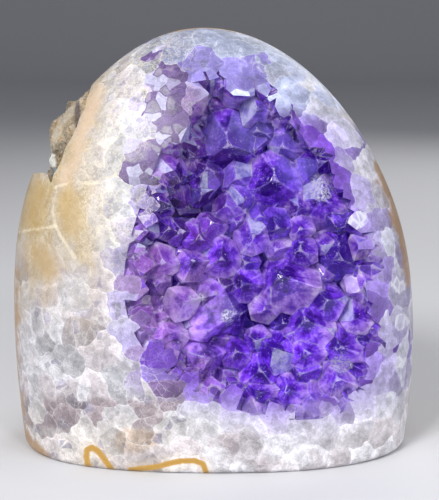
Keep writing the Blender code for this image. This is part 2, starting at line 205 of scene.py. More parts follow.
def block_cage(name, wave, span, inset=0.0):
    """A divided cube whose points are moved onto the block's form."""
    bpy.ops.object.select_all(action="DESELECT")
    bpy.ops.mesh.primitive_cube_add(size=2.0)
    cage = bpy.context.object
    cage.name = name
    with editing(cage):
        bpy.ops.mesh.subdivide(number_cuts=CAGE_DIVISIONS - 1)
    for vert in cage.data.vertices:
        outward = Vector([math.tan(c * math.pi / 4.0) for c in vert.co]).normalized()
        point = BLOCK_MIDDLE + (on_block(outward) - BLOCK_MIDDLE) * CAGE_OUTSET
        vert.co = point + outward * (wave * noise.noise(point / span) - inset)
    return cage


def cut_flat(obj):
    """Saws the stone off at the floor and closes the cut."""
    with editing(obj):
        bpy.ops.mesh.bisect(plane_co=(0, 0, 0), plane_no=(0, 0, 1), use_fill=True, clear_inner=True, threshold=1e-7)
    return face_outwards(obj)


def polished_block(name, levels):
    block = block_cage(name, HAND_GROUND_WAVE, HAND_GROUND_SPAN)
    modify(block, "SUBSURF", levels=levels, render_levels=levels)
    return cut_flat(block)


shell = polished_block("polished_quartz", 4)
plain_block = polished_block("plain_block", 3)
print("the block has", len(shell.data.polygons), "faces")

# %% [markdown]
# ## Where things are on the front
#
# The hollow and the crystals were placed as the stone is seen from in front and a little above.
# Their places are kept that way: across and up, in millimetres, from the middle of that view.
# A line of sight through such a place meets the polished face at one point, and that is where the thing is put.

# %% The line of sight
EYE_DISTANCE = 330.0 * MM
EYE_TILT = math.radians(10.0)
EYE_TARGET = Vector((1.3, 0.0, 50.2)) * MM
EYE_BACK = Vector((0.0, -math.cos(EYE_TILT), math.sin(EYE_TILT)))
EYE_RIGHT = Vector((1.0, 0.0, 0.0))
EYE_UP = EYE_BACK.cross(EYE_RIGHT)
EYE = EYE_TARGET + EYE_BACK * EYE_DISTANCE


def seen_at(across, up):
    """The point of the polished face that the eye sees at this place of its view."""
    goal = EYE_TARGET + EYE_RIGHT * across + EYE_UP * up
    near, far = 0.5, 1.0
    for _ in range(26):
        middle = (near + far) / 2.0
        if depth_in_block(EYE.lerp(goal, middle)) > 1.0:
            near = middle
        else:
            far = middle
    return EYE.lerp(goal, far)


def in_view(points):
    """Across and up, in metres, of points given as an array."""
    away = points - np.array(EYE)
    distance = -(away @ np.array(EYE_BACK))
    across = (away @ np.array(EYE_RIGHT)) / distance * EYE_DISTANCE
    up = (away @ np.array(EYE_UP)) / distance * EYE_DISTANCE
    return across, up


# %% [markdown]
# ## The hollow
#
# As the eye sees it, the hollow is a pear: wide below, narrow above, with its top leaning left and its bottom right.
# A ball is carried into that form point by point. Its middle plane becomes the rim on the polished face, and its
# back half becomes the wall of the hollow, which goes 23 mm deep.

# %% The hollow's form
HOLLOW_MIDDLE = (9.0 * MM, 3.0 * MM)
HOLLOW_HALF_WIDTH = 33.5 * MM
HOLLOW_HALF_HEIGHT = 48.5 * MM
HOLLOW_DEPTH = 23.0 * MM
HOLLOW_NARROWING = 0.38
HOLLOW_SKEW = 12.0 * MM
BOWL_WALL = 4.0 * MM


def in_hollow(ball, shrink, back_gap=0.0):
    """Carries a point of a unit ball to the hollow: x is to the right, z is up, and y is into the block."""
    across = HOLLOW_MIDDLE[0] + (HOLLOW_HALF_WIDTH - shrink) * (1.0 - HOLLOW_NARROWING * ball.z) * ball.x
    up = HOLLOW_MIDDLE[1] + (HOLLOW_HALF_HEIGHT - shrink) * ball.z
    face = seen_at(across - HOLLOW_SKEW * ball.z**3, up)
    inward = (face - EYE).normalized()
    return face + inward * (HOLLOW_DEPTH - shrink - back_gap) * ball.y


def pear(name, shrink, back_gap=0.0):
    """The form of the hollow as an object, smaller all round by the given length."""
    bpy.ops.object.select_all(action="DESELECT")
    bpy.ops.mesh.primitive_ico_sphere_add(subdivisions=5, radius=1.0)
    form = bpy.context.object
    form.name = name
    for vert in form.data.vertices:
        vert.co = in_hollow(vert.co.normalized(), shrink, back_gap)
    return face_outwards(form)


def rim_distance(points):
    """How far outside the hollow's rim each point is seen, in mm: below 0 inside it."""
    across, up = in_view(points)
    v = (up - HOLLOW_MIDDLE[1]) / HOLLOW_HALF_HEIGHT
    shifted = across + HOLLOW_SKEW * np.clip(v, -1.2, 1.2) ** 3 - HOLLOW_MIDDLE[0]
    u = shifted / (HOLLOW_HALF_WIDTH * (1.0 - HOLLOW_NARROWING * np.clip(v, -1.3, 1.3)))
    from_middle = np.hypot(u, v)
    size = np.hypot(shifted, up - HOLLOW_MIDDLE[1])
    return (size - size / np.maximum(from_middle, 1e-3)) / MM


# %% [markdown]
# ## A quartz crystal
#
# Quartz grows as a six-sided prism under a six-sided point, whose faces meet the axis at 38 degrees.
# Three of the six grow faster and stay small, so a tip is hardly ever even. A cylinder with six sides is the start,
# and each face of the point is one bisect that takes off what is outside it and fills the cut.
# A narrow bevel on the edges gives the thin bright line that a real edge has. A few different crystals are modelled
# this way, one unit wide, and every crystal of the geode is a copy of one of them.

# %% Model the crystal forms
FACE_TO_AXIS = math.radians(38.2)
LENGTH_IN_WIDTHS = 2.1
EDGE_BEVEL = 0.012
# How far from the tip the faces stand back, in widths: every other face stays small
LAZY_FACE, KEEN_FACE = (0.04, 0.26), (0.0, 0.06)


def model_crystal(name, chance, bevel):
    """A crystal one unit wide with its tip at the origin, pointing up."""
    radius = 0.5 / math.cos(math.pi / 6.0)
    bpy.ops.object.select_all(action="DESELECT")
    bpy.ops.mesh.primitive_cylinder_add(
        vertices=6, radius=radius, depth=LENGTH_IN_WIDTHS, location=(0, 0, -LENGTH_IN_WIDTHS / 2)
    )
    made = bpy.context.object
    made.name = name
    bpy.ops.object.transform_apply(location=True, rotation=True, scale=True)
    with editing(made):
        for side in range(6):
            angle = math.radians(30 + 60 * side)
            slope = math.cos(FACE_TO_AXIS)
            normal = Vector((math.cos(angle) * slope, math.sin(angle) * slope, math.sin(FACE_TO_AXIS)))
            stand_back = chance.uniform(*(LAZY_FACE if side % 2 else KEEN_FACE))
            bpy.ops.mesh.select_all(action="SELECT")
            bpy.ops.mesh.bisect(plane_co=normal * stand_back, plane_no=normal, use_fill=True, clear_outer=True)
        bpy.ops.mesh.select_all(action="SELECT")
        if bevel:
            bpy.ops.mesh.bevel(offset=bevel, segments=1, affect="EDGES")
            bpy.ops.mesh.select_all(action="SELECT")
        bpy.ops.mesh.normals_make_consistent(inside=False)
    return made


FORMS_OF_EACH = 8
form_chance = random.Random(3)
large_forms = [model_crystal(f"large_form_{i}", form_chance, EDGE_BEVEL) for i in range(FORMS_OF_EACH)]
small_forms = [model_crystal(f"small_form_{i}", form_chance, 0.0) for i in range(FORMS_OF_EACH)]
print("faces of a large and a small crystal:", len(large_forms[0].data.polygons), len(small_forms[0].data.polygons))

# %% [markdown]
# ## Growing the crust
#
# The crystals grow from the wall of the hollow towards its middle, so tight that they run into one another.
# The large ones that give this stone its look were placed one by one, by their places in the view.
# A ring of middling ones breaks up the rim, and small ones cover the wall between them.
# Each crystal's mesh carries its number on its faces, so that its colour can be worked out after all are joined.

# %% The large crystals
# Across, up and width in mm, lean right and lean up in degrees, turn in degrees, and tip below the polished face in mm
LARGE_CRYSTALS = (
    (2.2, 27.0, 13.5, 0, -8, 10, 4.0),
    (14.2, 18.2, 12.5, 5, 5, 0, 3.5),
    (16.0, -6.5, 14.0, -14, 10, 20, 2.5),
    (4.3, -16.1, 15.5, 30, -2, 5, 4.0),
    (30.8, -2.1, 10.5, 3, -8, 0, 2.2),
    (-7.2, 37.4, 9.0, 5, -10, 30, 3.0),
    (22.2, -18.5, 12.0, -5, 8, 15, 2.6),
    (31.1, -25.0, 11.5, 0, 0, 10, 1.4),
    (-13.7, -21.6, 9.5, 5, 5, 25, 0.8),
    (-21.2, -18.2, 9.0, -5, 0, 0, -0.3),
    (-3.0, -28.1, 11.0, 15, -5, 40, 2.6),
    (27.7, -12.7, 8.5, 5, 10, 35, 2.2),
    (19.9, 33.3, 11.5, 5, -10, 15, 1.3),
    (25.6, 22.4, 10.5, 5, 0, 45, 2.2),
    (26.7, 13.5, 12.5, 0, 5, 0, 1.8),
    (10.0, 36.4, 9.5, 0, -5, 20, 1.8),
    (3.3, 41.1, 10.0, -5, -5, 50, 1.3),
    (-2.7, 45.8, 6.5, 0, 0, 10, 0.4),
    (16.5, 27.0, 7.5, -10, -5, 0, 5.5),
    (-3.5, 21.3, 8.5, 5, 20, 12, 6.0),
    (-11.6, 17.9, 10.0, 20, 10, 33, 5.5),
    (-13.7, 26.5, 8.5, 10, 0, 0, 1.3),
    (-6.9, 29.6, 6.5, 15, 0, 20, 5.0),
    (4.3, 18.7, 7.0, -5, 0, 14, 6.5),
    (6.4, 13.5, 6.5, 10, -5, 40, 6.0),
    (1.7, 11.7, 7.0, -10, 8, 5, 6.5),
    (-2.0, 7.0, 7.0, 10, 15, 25, 6.0),
    (-5.3, 3.1, 8.0, 15, 0, 0, 5.2),
    (-9.5, 4.9, 6.0, 20, 5, 30, 5.0),
    (8.5, 3.6, 8.0, 0, 0, 48, 5.2),
    (15.0, 6.2, 7.5, 5, -5, 22, 4.4),
    (20.7, 0.3, 7.5, -5, 5, 0, 3.6),
    (21.2, 5.7, 5.5, 0, 0, 20, 4.0),
    (38.4, -8.8, 9.5, 5, 0, 30, 0.3),
    (35.2, -17.2, 9.0, 0, 0, 8, 1.6),
    (13.9, -25.7, 10.5, -5, 5, 50, 2.6),
    (10.5, -31.2, 9.5, 0, 5, 10, 2.2),
    (22.5, -27.0, 9.0, 5, 0, 28, 2.2),
    (39.9, -30.4, 10.0, 0, 0, 0, -0.3),
    (17.8, -36.4, 9.5, 0, 8, 18, 0.9),
    (9.8, -37.4, 8.0, -5, 5, 44, 0.8),
    (23.8, -38.0, 8.0, 0, 10, 0, 0.8),
    (3.3, -35.9, 7.0, -5, 10, 30, 2.6),
    (30.6, -33.5, 8.0, 5, 10, 15, 0.9),
    (33.9, -40.6, 11.0, 0, 0, 38, -0.5),
    (-18.1, -29.6, 11.0, 0, 0, 12, -0.5),
    (-11.8, -28.1, 5.5, 10, 0, 0, 2.2),
    (4.3, -26.0, 6.5, 0, 10, 20, 5.0),
    (-9.2, -13.8, 7.5, 10, 0, 40, 1.8),
    (-12.1, 46.8, 6.0, 0, 0, 0, -0.4),
    (-7.7, 45.8, 6.0, 0, 0, 20, -0.4),
    (-18.1, 17.2, 5.5, 10, 0, 10, 0.4),
    (-18.9, 11.2, 5.5, 5, 0, 35, 0.3),
    (-18.9, 5.5, 5.5, 5, 0, 0, 0.4),
    (-14.7, 10.4, 6.5, 20, 0, 22, 3.4),
    (-12.9, 5.7, 5.5, 15, 0, 8, 3.4),
    (-14.7, -3.1, 8.0, 10, 0, 10, 1.3),
    (-6.9, -3.1, 7.5, 10, 10, 35, 3.4),
    (0.7, -2.1, 8.5, 0, 0, 0, 4.6),
    (6.1, -8.8, 8.5, -5, 0, 27, 6.0),
    (11.6, -15.1, 6.5, 0, 0, 15, 5.6),
    (29.0, 31.2, 8.5, 0, 0, 30, -0.3),
    (2.2, 47.3, 8.5, 0, 0, 5, -1.0),
    (12.9, 44.7, 9.0, 0, 0, 25, -1.0),
    (23.3, 40.6, 7.5, 0, 0, 50, -1.0),
    (36.0, 8.1, 5.5, 0, 0, 12, -0.8),
    (36.5, 1.0, 5.5, 0, 0, 40, -0.3),
    (-12.9, -36.9, 8.5, 0, 0, 20, -0.8),
    (-4.3, -38.5, 8.5, 0, 0, 48, -0.8),
)

crystals = bpy.data.collections.new("Crystals_to_join")
bpy.context.scene.collection.children.link(crystals)
grown = []


def grow(form, tip, axis, turn, width, chance, shade=None):
    """Puts a copy of a crystal form in place and remembers its tip, axis, width and shade, from dark 0 to pale 1."""
    mesh = form.data.copy()
    squeeze = Matrix.Diagonal((width * chance.uniform(0.92, 1.08), width * chance.uniform(0.88, 1.0), width, 1.0))
    stand = axis.to_track_quat("Z", "Y").to_matrix().to_4x4() @ Matrix.Rotation(math.radians(turn), 4, "Z")
    mesh.transform(Matrix.Translation(tip) @ stand @ squeeze)
    grown.append((*tip, *axis, width, chance.random() if shade is None else shade))
    number = mesh.attributes.new("crystal", "INT", "FACE")
    number.data.foreach_set("value", [len(grown)] * len(mesh.polygons))
    crystals.objects.link(bpy.data.objects.new("crystal", mesh))


# The list has the widths that show between the neighbours, so each crystal is made this much wider
SPREAD = 1.2
# Shades of those that are plainly darker or paler than the rest, by their place in the list
SHADES = {
    0: 0.08, 1: 0.30, 2: 0.50, 3: 0.25, 4: 0.05, 5: 0.55, 6: 0.45, 7: 0.45, 8: 0.80, 9: 0.85, 10: 0.40, 12: 0.45,
    13: 0.25, 14: 0.55, 15: 0.65, 16: 0.75, 17: 0.70, 19: 0.10, 20: 0.15, 28: 0.30, 30: 0.20, 31: 0.35, 34: 0.70,
    41: 0.75, 44: 0.80, 45: 0.92, 61: 0.80,
}
chance = random.Random(11)
for place_in_list, (across, up, width, lean_right, lean_up, turn, under) in enumerate(LARGE_CRYSTALS):
    face = seen_at(across * MM, up * MM)
    to_eye = (EYE - face).normalized()
    axis = to_eye.copy()
    axis.rotate(Euler((-math.radians(lean_up), 0.0, math.radians(lean_right))))
    shade = SHADES.get(place_in_list, chance.uniform(0.2, 0.8))
    grow(chance.choice(large_forms), face - to_eye * under * MM, axis, turn, width * SPREAD * MM, chance, shade)
print(len(grown), "large crystals")

# %% [markdown]
# ### Filling the gaps
#
# In the stone no wall shows between the large crystals, because smaller ones grew wherever there was room.
# Places are tried at random over the view of the hollow. One is kept where it is clear of the crystals already there,
# and its tip goes a little deeper than the tips around it.

# %% Crystals in the gaps
GAP_TRIES = 6000
GAP_SPACING = 6.0
GAP_FROM_RIM = 4.0
GAP_WIDTHS = (6.0, 9.0)
GAP_DEEPER = (2.0, 4.2)
GAP_LEAN = 0.22
placed = [(row[0], row[1], row[2] * 0.5, row[6]) for row in LARGE_CRYSTALS]
for _ in range(GAP_TRIES):
    across, up = chance.uniform(-32.0, 46.0), chance.uniform(-46.0, 52.0)
    face = seen_at(across * MM, up * MM)
    if rim_distance(np.array([face]))[0] > -GAP_FROM_RIM:
        continue
    away = [(math.hypot(across - a, up - u), reach, under) for a, u, reach, under in placed]
    if any(distance < max(reach * 0.88, GAP_SPACING * 0.8) for distance, reach, _ in away):
        continue
    away.sort()
    under = sum(near[2] for near in away[:3]) / 3.0 + chance.uniform(*GAP_DEEPER)
    width = chance.uniform(*GAP_WIDTHS)
    placed.append((across, up, GAP_SPACING, under))
    to_eye = (EYE - face).normalized()
    axis = to_eye.copy()
    axis.rotate(Euler((chance.gauss(0, GAP_LEAN), 0.0, chance.gauss(0, GAP_LEAN))))
    grow(chance.choice(large_forms), face - to_eye * under * MM, axis, chance.uniform(0, 60), width * MM, chance)
print(len(grown), "with those in the gaps")

# %% The ring of crystals at the rim
# Along the crown, which is the top and the upper right, they are wider and reach further in and out
RIM_CRYSTALS = 92
for step in range(RIM_CRYSTALS):
    around = 2.0 * math.pi * (step + chance.uniform(-0.45, 0.45)) / RIM_CRYSTALS
    crown = max(0.0, math.sin(around) - 0.5) / 0.5 if math.cos(around) > -0.7 else 0.0
    width = chance.uniform(4.0, 7.5 + 3.5 * crown) * MM
    shrink = chance.uniform(0.3, 3.8 + 4.5 * crown) * MM
    rim_point = in_hollow(Vector((math.cos(around), 0.0, math.sin(around))), shrink)
    to_eye = (EYE - rim_point).normalized()
    to_middle = (in_hollow(Vector((0.0, 0.0, 0.0)), 0.0) - rim_point).normalized()
    axis = (to_eye + to_middle * chance.uniform(-0.1, 0.2)).normalized()
    under = chance.uniform(-1.1 - 2.5 * crown, 1.9) * MM
    grow(chance.choice(large_forms), rim_point - to_eye * under, axis, chance.uniform(0, 60), width, chance)
print(len(grown), "with the ring at the rim")

# %% The small crystals on the wall
SMALL_CRYSTALS = 230
SMALL_SPACING = 3.3 * MM
SMALL_WIDTHS = (3.0, 7.0)
feet = []
while len(feet) < SMALL_CRYSTALS:
    ball = Vector((chance.gauss(0, 1), abs(chance.gauss(0, 1)), chance.gauss(0, 1))).normalized()
    foot = in_hollow(ball, BOWL_WALL)
    if any((foot - other).length < SMALL_SPACING for other in feet):
        continue
    feet.append(foot)
    outward = (in_hollow(ball * 0.6, BOWL_WALL) - foot).normalized()
    wobble = Vector((chance.uniform(-1, 1), chance.uniform(-1.5, 0.0), chance.uniform(-1, 1)))
    axis = (outward + wobble * 0.4).normalized()
    width = chance.uniform(*SMALL_WIDTHS) * MM
    tip = foot + axis * width * chance.uniform(0.4, 0.9)
    # Their shades are kept in the darker half, as painted shade deep in the hollow
    grow(chance.choice(small_forms), tip, axis, chance.uniform(0, 60), width, chance, chance.uniform(0.0, 0.5))
print(len(grown), "with the small crystals on the wall")

# %% [markdown]
# ## Joining the crust
#
# A Boolean union makes one skin of the wall and every crystal that grows from it, as they are one piece in the stone.
# What reaches past the polished face was ground off with it, so the crust is then kept within the block.
# It also stops just short of the hollow's back wall, so that light that goes through the crystals
# meets pale quartz behind them.

# %% Join the crystals and grind them flush
CRUST_SPARE = 2.0 * MM
CRUST_BACK_GAP = 0.5 * MM
THIN_WALL = 1.3 * MM
crust = pear("amethyst_crystals", -CRUST_SPARE)
crust.data.attributes.new("crystal", "INT", "FACE")
opened = pear("open_space", THIN_WALL)
combine(crust, "DIFFERENCE", opened)
combine(crust, "UNION", crystals)
room = pear("crust_room", 0.0, CRUST_BACK_GAP)
combine(crust, "INTERSECT", room)
made = plain_block.data.attributes.new("ground", "INT", "FACE")
made.data.foreach_set("value", [1] * len(plain_block.data.polygons))
combine(crust, "INTERSECT", plain_block)
drop(opened, room, *crystals.objects, *large_forms, *small_forms)
print("the crust has", len(crust.data.polygons), "faces")

# %% [markdown]
# ## Finer faces for the crystals
#
# What the colours need to know is kept at the points of the mesh, so the points must lie close together, also in the
# middle of a large crystal face. Long edges are divided until none is much over a millimetre.
# Pockets that the union closed in are dropped first, and slivers without an area last.

# %% Divide the crust's faces
LONGEST_EDGE = 1.25 * MM
CLOSEST_POINTS = 0.004 * MM
NO_AREA = 0.0001 * MM


def keep_largest_skin(bm):
    """Deletes all but the largest set of joined faces."""
    waiting = set(bm.faces)
    skins = []
    while waiting:
        skin, growing = [], [waiting.pop()]
        while growing:
            face = growing.pop()
            skin.append(face)
            near = {other for edge in face.edges for other in edge.link_faces} & waiting
            waiting -= near
            growing.extend(near)
        skins.append(skin)
    skins.sort(key=len)
    bmesh.ops.delete(bm, geom=[face for skin in skins[:-1] for face in skin], context="FACES")
    return len(skins)


def divide_long_edges(bm, longest):
    for _ in range(6):
        long_edges = [edge for edge in bm.edges if edge.calc_length() > longest]
        if not long_edges:
            break
        bmesh.ops.subdivide_edges(bm, edges=long_edges, cuts=1)
        bmesh.ops.triangulate(bm, faces=[face for face in bm.faces if len(face.verts) > 3])


def drop_flat_folds(bm):
    """Two slivers on the same three points cancel out, so both go, and so do faces without an area."""
    by_corners = {}
    for face in bm.faces:
        by_corners.setdefault(frozenset(face.verts), []).append(face)
    folded = [face for same in by_corners.values() if len(same) > 1 for face in same]
    bmesh.ops.delete(bm, geom=folded, context="FACES")
    bmesh.ops.dissolve_degenerate(bm, dist=NO_AREA, edges=bm.edges)
    bmesh.ops.triangulate(bm, faces=[face for face in bm.faces if len(face.verts) > 3])
    return len(folded)


bm = bmesh.new()
bm.from_mesh(crust.data)
print("skins found in the crust:", keep_largest_skin(bm))
bmesh.ops.triangulate(bm, faces=bm.faces)
bmesh.ops.remove_doubles(bm, verts=bm.verts, dist=CLOSEST_POINTS)
divide_long_edges(bm, LONGEST_EDGE)
print("slivers dropped:", drop_flat_folds(bm))
print("edges without two faces:", sum(len(edge.link_faces) != 2 for edge in bm.edges))
bm.to_mesh(crust.data)
bm.free()
print("the crust has", len(crust.data.polygons), "triangles")

# %% [markdown]
# ## The polished quartz around the hollow
#
# The polished quartz is the block with three things taken away: the rock's side at the back, the hollow, and the
# piece that has broken off at the upper left. The break was drawn as the eye sees it and goes straight through the
# stone along the line of sight. Its walls are divided and pushed about by noise, since a broken face is rough.

# %% What is cut from the block
ROCK_SEAM_Y = 9.0 * MM
ROCK_SEAM_WAVE = 2.2 * MM
ROCK_SEAM_SPAN = 17.0 * MM
ROOM_BACK = 70.0 * MM
FIT_GAP = 0.35 * MM
BREAK_EDGE = (
    (-31.9, 44.5), (-32.3, 39.0), (-33.2, 35.1), (-34.4, 32.6), (-35.2, 29.6), (-37.4, 25.2), (-38.4, 22.2),
    (-40.2, 18.9), (-41.3, 16.2), (-42.4, 18.3), (-44.4, 19.2), (-47.6, 19.6), (-48.4, 18.0), (-49.6, 17.4),
    (-60.0, 16.6), (-62.0, 60.0), (-34.0, 60.0),
)
BREAK_CUT_HALF_LENGTH = 70.0 * MM
BREAK_ROUGHNESS = 0.55 * MM
BREAK_TOP = 50.0 * MM
BREAK_STEP = 1.3 * MM
BREAK_STEPS_DEEP = 60
SMOOTH_DEPTH = 30.0 * MM


def rock_room(name, gap):
    """All that is behind the wavy seam between quartz and rock."""
    bpy.ops.object.select_all(action="DESELECT")
    front = ROCK_SEAM_Y + gap
    middle, size = (0, (front + ROOM_BACK) / 2, 55.0 * MM), (160.0 * MM, ROOM_BACK - front, 150.0 * MM)
    bpy.ops.mesh.primitive_cube_add(size=1.0, location=middle, scale=size)
    room = bpy.context.object
    room.name = name
    bpy.ops.object.transform_apply(location=True, rotation=True, scale=True)
    with editing(room):
        bpy.ops.mesh.subdivide(number_cuts=13)
        bpy.ops.mesh.quads_convert_to_tris(quad_method="FIXED")
    for vert in room.data.vertices:
        if abs(vert.co.y - front) < 0.1 * MM:
            vert.co.y += ROCK_SEAM_WAVE * noise.noise(Vector((vert.co.x, 0.0, vert.co.z)) / ROCK_SEAM_SPAN)
    return room


def inset_outline(points, distance):
    """Moves each side of a clockwise outline inwards by the same distance."""
    moved = []
    for before, here, after in zip(points[-1:] + points[:-1], points, points[1:] + points[:1]):
        arriving, leaving = (here - before).normalized(), (after - here).normalized()
        inward = Vector((arriving.y + leaving.y, -arriving.x - leaving.x)).normalized()
        to_side = inward.dot(Vector((leaving.y, -leaving.x)))
        moved.append(here + inward * distance / max(to_side, 0.4))
    return moved


def break_form(name, shrink):
    """What has broken away: its outline, divided finely, drawn out along the line of sight and roughened."""
    corners = inset_outline([Vector(corner) * MM for corner in BREAK_EDGE], shrink)
    outline = []
    for here, after in zip(corners, corners[1:] + corners[:1]):
        on_stone = here.x > -BLOCK_HALF_WIDTH and here.y < BREAK_TOP
        pieces = max(1, round((after - here).length / BREAK_STEP)) if on_stone else 1
        outline.extend(here.lerp(after, i / pieces) for i in range(pieces))
    bpy.ops.object.select_all(action="DESELECT")
    bpy.ops.mesh.primitive_circle_add(vertices=len(outline), radius=0.01, fill_type="NGON")
    made = bpy.context.object
    made.name = name
    for vert, corner in zip(made.data.vertices, outline):
        vert.co = EYE_TARGET + EYE_RIGHT * corner.x + EYE_UP * corner.y - EYE_BACK * BREAK_CUT_HALF_LENGTH
    move = EYE_BACK * 2.0 * BREAK_CUT_HALF_LENGTH / BREAK_STEPS_DEEP
    with editing(made):
        for _ in range(BREAK_STEPS_DEEP):
            bpy.ops.mesh.extrude_region_move(TRANSFORM_OT_translate={"value": move})
    with editing(made):
        bpy.ops.mesh.normals_make_consistent(inside=False)
        bpy.ops.mesh.quads_convert_to_tris(quad_method="FIXED")
    for vert in made.data.vertices:
        along = (vert.co - EYE_TARGET).dot(EYE_BACK)
        push = noise.noise_vector(vert.co / (5.0 * MM)) + 0.5 * noise.noise_vector(vert.co / (1.7 * MM))
        vert.co += push * BREAK_ROUGHNESS * min(1.0, abs(along - SMOOTH_DEPTH) / (6.0 * MM))
    return made


# Rings of points at these heights in mm give the rounding of the foot its form
FOOT_RINGS = (1.6, 1.1, 0.65, 0.3, 0.1)
for height in FOOT_RINGS:
    with editing(shell):
        bpy.ops.mesh.bisect(plane_co=(0, 0, height * MM), plane_no=(0, 0, 1), threshold=1e-7)
behind = rock_room("behind_the_seam", 0.0)
hollow = pear("hollow_cut", 0.0)
broken = break_form("break_cut", 0.0)
made = hollow.data.attributes.new("wall", "INT", "FACE")
made.data.foreach_set("value", [1] * len(hollow.data.polygons))
for cutter in (behind, hollow, broken):
    combine(shell, "DIFFERENCE", cutter)
drop(behind, hollow, broken)
print("the polished quartz has", len(shell.data.polygons), "faces")

# %% [markdown]
# ## The rough rock on the back
#
# Behind the seam the stone was never polished. It is the skin of the nodule and the rock that it grew in: lumpy,
# gritty and pitted. A lump of it stands in the break at the upper left, where the quartz in front of it came away.
# Both are dense meshes that layers of noise push in and out, large lumps first and grit last.

# %% Model the rock
ROCK_INSET = 1.35 * MM
ROCK_LUMP = 2.0 * MM
ROCK_LUMP_SPAN = 15.0 * MM
LUMP_CENTRE = Vector((-30.9, 4.0, 76.8)) * MM
LUMP_HALF = Vector((11.0, 12.0, 14.5)) * MM
LUMP_TURN = math.radians(25.0)


def weather(obj, layers):
    """Pushes points along their normals by layers of noise, each given as its height and span in mm and its kind."""
    co = points_of(obj.data)
    normals = np.array([vert.normal for vert in obj.data.vertices])
    push = np.zeros(len(co))
    for height, span, kind in layers:
        for i, point in enumerate(co):
            value = noise.noise(Vector(point) / (span * MM))
            shape = {"lumps": value, "pits": -max(0.0, value - 0.15) * 2.0, "ridges": 0.4 - abs(value)}[kind]
            push[i] += height * MM * shape
    put_points(obj.data, co + normals * push[:, None])


# Height and span in mm, and kind
ROCK_LAYERS = ((0.8, 12.0, "lumps"), (1.5, 9.0, "pits"), (1.2, 4.5, "ridges"), (0.9, 2.4, "pits"), (0.2, 1.0, "lumps"))
LUMP_LAYERS = ((1.6, 7.5, "lumps"), (2.0, 5.0, "ridges"), (1.4, 2.8, "pits"), (0.6, 1.5, "ridges"), (0.5, 0.9, "lumps"))
rock = block_cage("rough_rock", ROCK_LUMP, ROCK_LUMP_SPAN, ROCK_INSET)
modify(rock, "SUBSURF", levels=4, render_levels=4)
weather(rock, ROCK_LAYERS)
cut_flat(rock)
behind = rock_room("rock_room", 0.12 * MM)
combine(rock, "INTERSECT", behind)

bpy.ops.object.select_all(action="DESELECT")
bpy.ops.mesh.primitive_ico_sphere_add(subdivisions=6, radius=1.0)
lump = bpy.context.object
lump.name = "rock_lump"
lump_axes = Matrix.Translation(LUMP_CENTRE) @ Matrix.Rotation(LUMP_TURN, 4, "Y")
for vert in lump.data.vertices:
    vert.co = lump_axes @ Vector([vert.co[i] * LUMP_HALF[i] for i in range(3)])
lump.data.update()
weather(lump, LUMP_LAYERS)
room = break_form("break_room", FIT_GAP)
combine(lump, "INTERSECT", room)
combine(rock, "UNION", lump)
drop(behind, room, lump)
print("the rock has", len(rock.data.polygons), "faces")

# %% [markdown]
# ## Rounding the foot
#
# The saw cut under the stone was eased by hand so that the edge would not chip. It is a rounding of about a millimetre
# and a half. All points of the outer surface near the floor move inwards by the formula of a quarter circle.

# %% Round the bottom edge


def round_foot(obj, loosest):
    co = points_of(obj.data)
    moved = 0
    for i in np.nonzero((co[:, 2] < BASE_ROUNDING) & (co[:, 2] > -1e-6))[0]:
        x, y, z = co[i]
        if depth_in_block(Vector((x, y, z))) < loosest:
            continue
        rise = BASE_ROUNDING - max(z, 0.0)
        inward = BASE_ROUNDING - math.sqrt(BASE_ROUNDING**2 - rise**2)
        size = math.hypot(x, y)
        co[i, :2] *= (size - inward) / size
        moved += 1
    put_points(obj.data, co)
    return moved


print("foot points moved:", round_foot(shell, 0.985), "on the quartz and", round_foot(rock, 0.86), "on the rock")

# %% [markdown]
# ## What the colours need to know
#
# The colour of quartz depends on where in the stone it is: violet near the tips, paler towards the foot of each
# crystal, and white at the lines where crystals meet. A material can't see any of that, so it is measured here and
# kept on the meshes as attributes: how far outside the rim a point is seen, how near it is to a line where
# crystals meet, how near to a ridge between two faces, its place on its crystal, and its direction from the crystal's
# axis. Each face also gets a chance value, because what a clear face shows depends on what it happens to reflect.

# %% Measure places and lines
RIDGE_ANGLE = 0.35
# Two faces of a crystal have the same chance value when their normals round to the same steps
FACING_STEPS = 8.0
NO_CRYSTAL = (0.0,) * 8
grown_table = np.array([NO_CRYSTAL] + grown)


def keep_points_attribute(mesh, name, values):
    made = mesh.attributes.new(name, "FLOAT", "POINT")
    made.data.foreach_set("value", np.asarray(values, dtype=np.float32))


mesh = crust.data
keep_points_attribute(mesh, "rim_mm", rim_distance(points_of(mesh)))
number = np.empty(len(mesh.polygons), dtype=np.int32)
mesh.attributes["crystal"].data.foreach_get("value", number)
bm = bmesh.new()
bm.from_mesh(mesh)
contact = np.zeros(len(bm.verts))
ridge = np.zeros(len(bm.verts))
for edge in bm.edges:
    if len(edge.link_faces) != 2:
        continue
    one, other = edge.link_faces
    if number[one.index] != number[other.index]:
        for vert in edge.verts:
            contact[vert.index] = 1.0
    elif edge.calc_face_angle_signed(0.0) > RIDGE_ANGLE:
        for vert in edge.verts:
            ridge[vert.index] = 1.0
bm.free()
keep_points_attribute(mesh, "contact", contact)
keep_points_attribute(mesh, "ridge", ridge)

facing = np.empty(len(mesh.polygons) * 3)
mesh.polygons.foreach_get("normal", facing)
steps = np.round(facing.reshape(-1, 3) * FACING_STEPS).astype(int)
facets = [random.Random(f"{who} {way.tolist()}").random() for who, way in zip(number, steps)]
made = mesh.attributes.new("facet", "FLOAT", "FACE")
made.data.foreach_set("value", np.array(facets, dtype=np.float32))

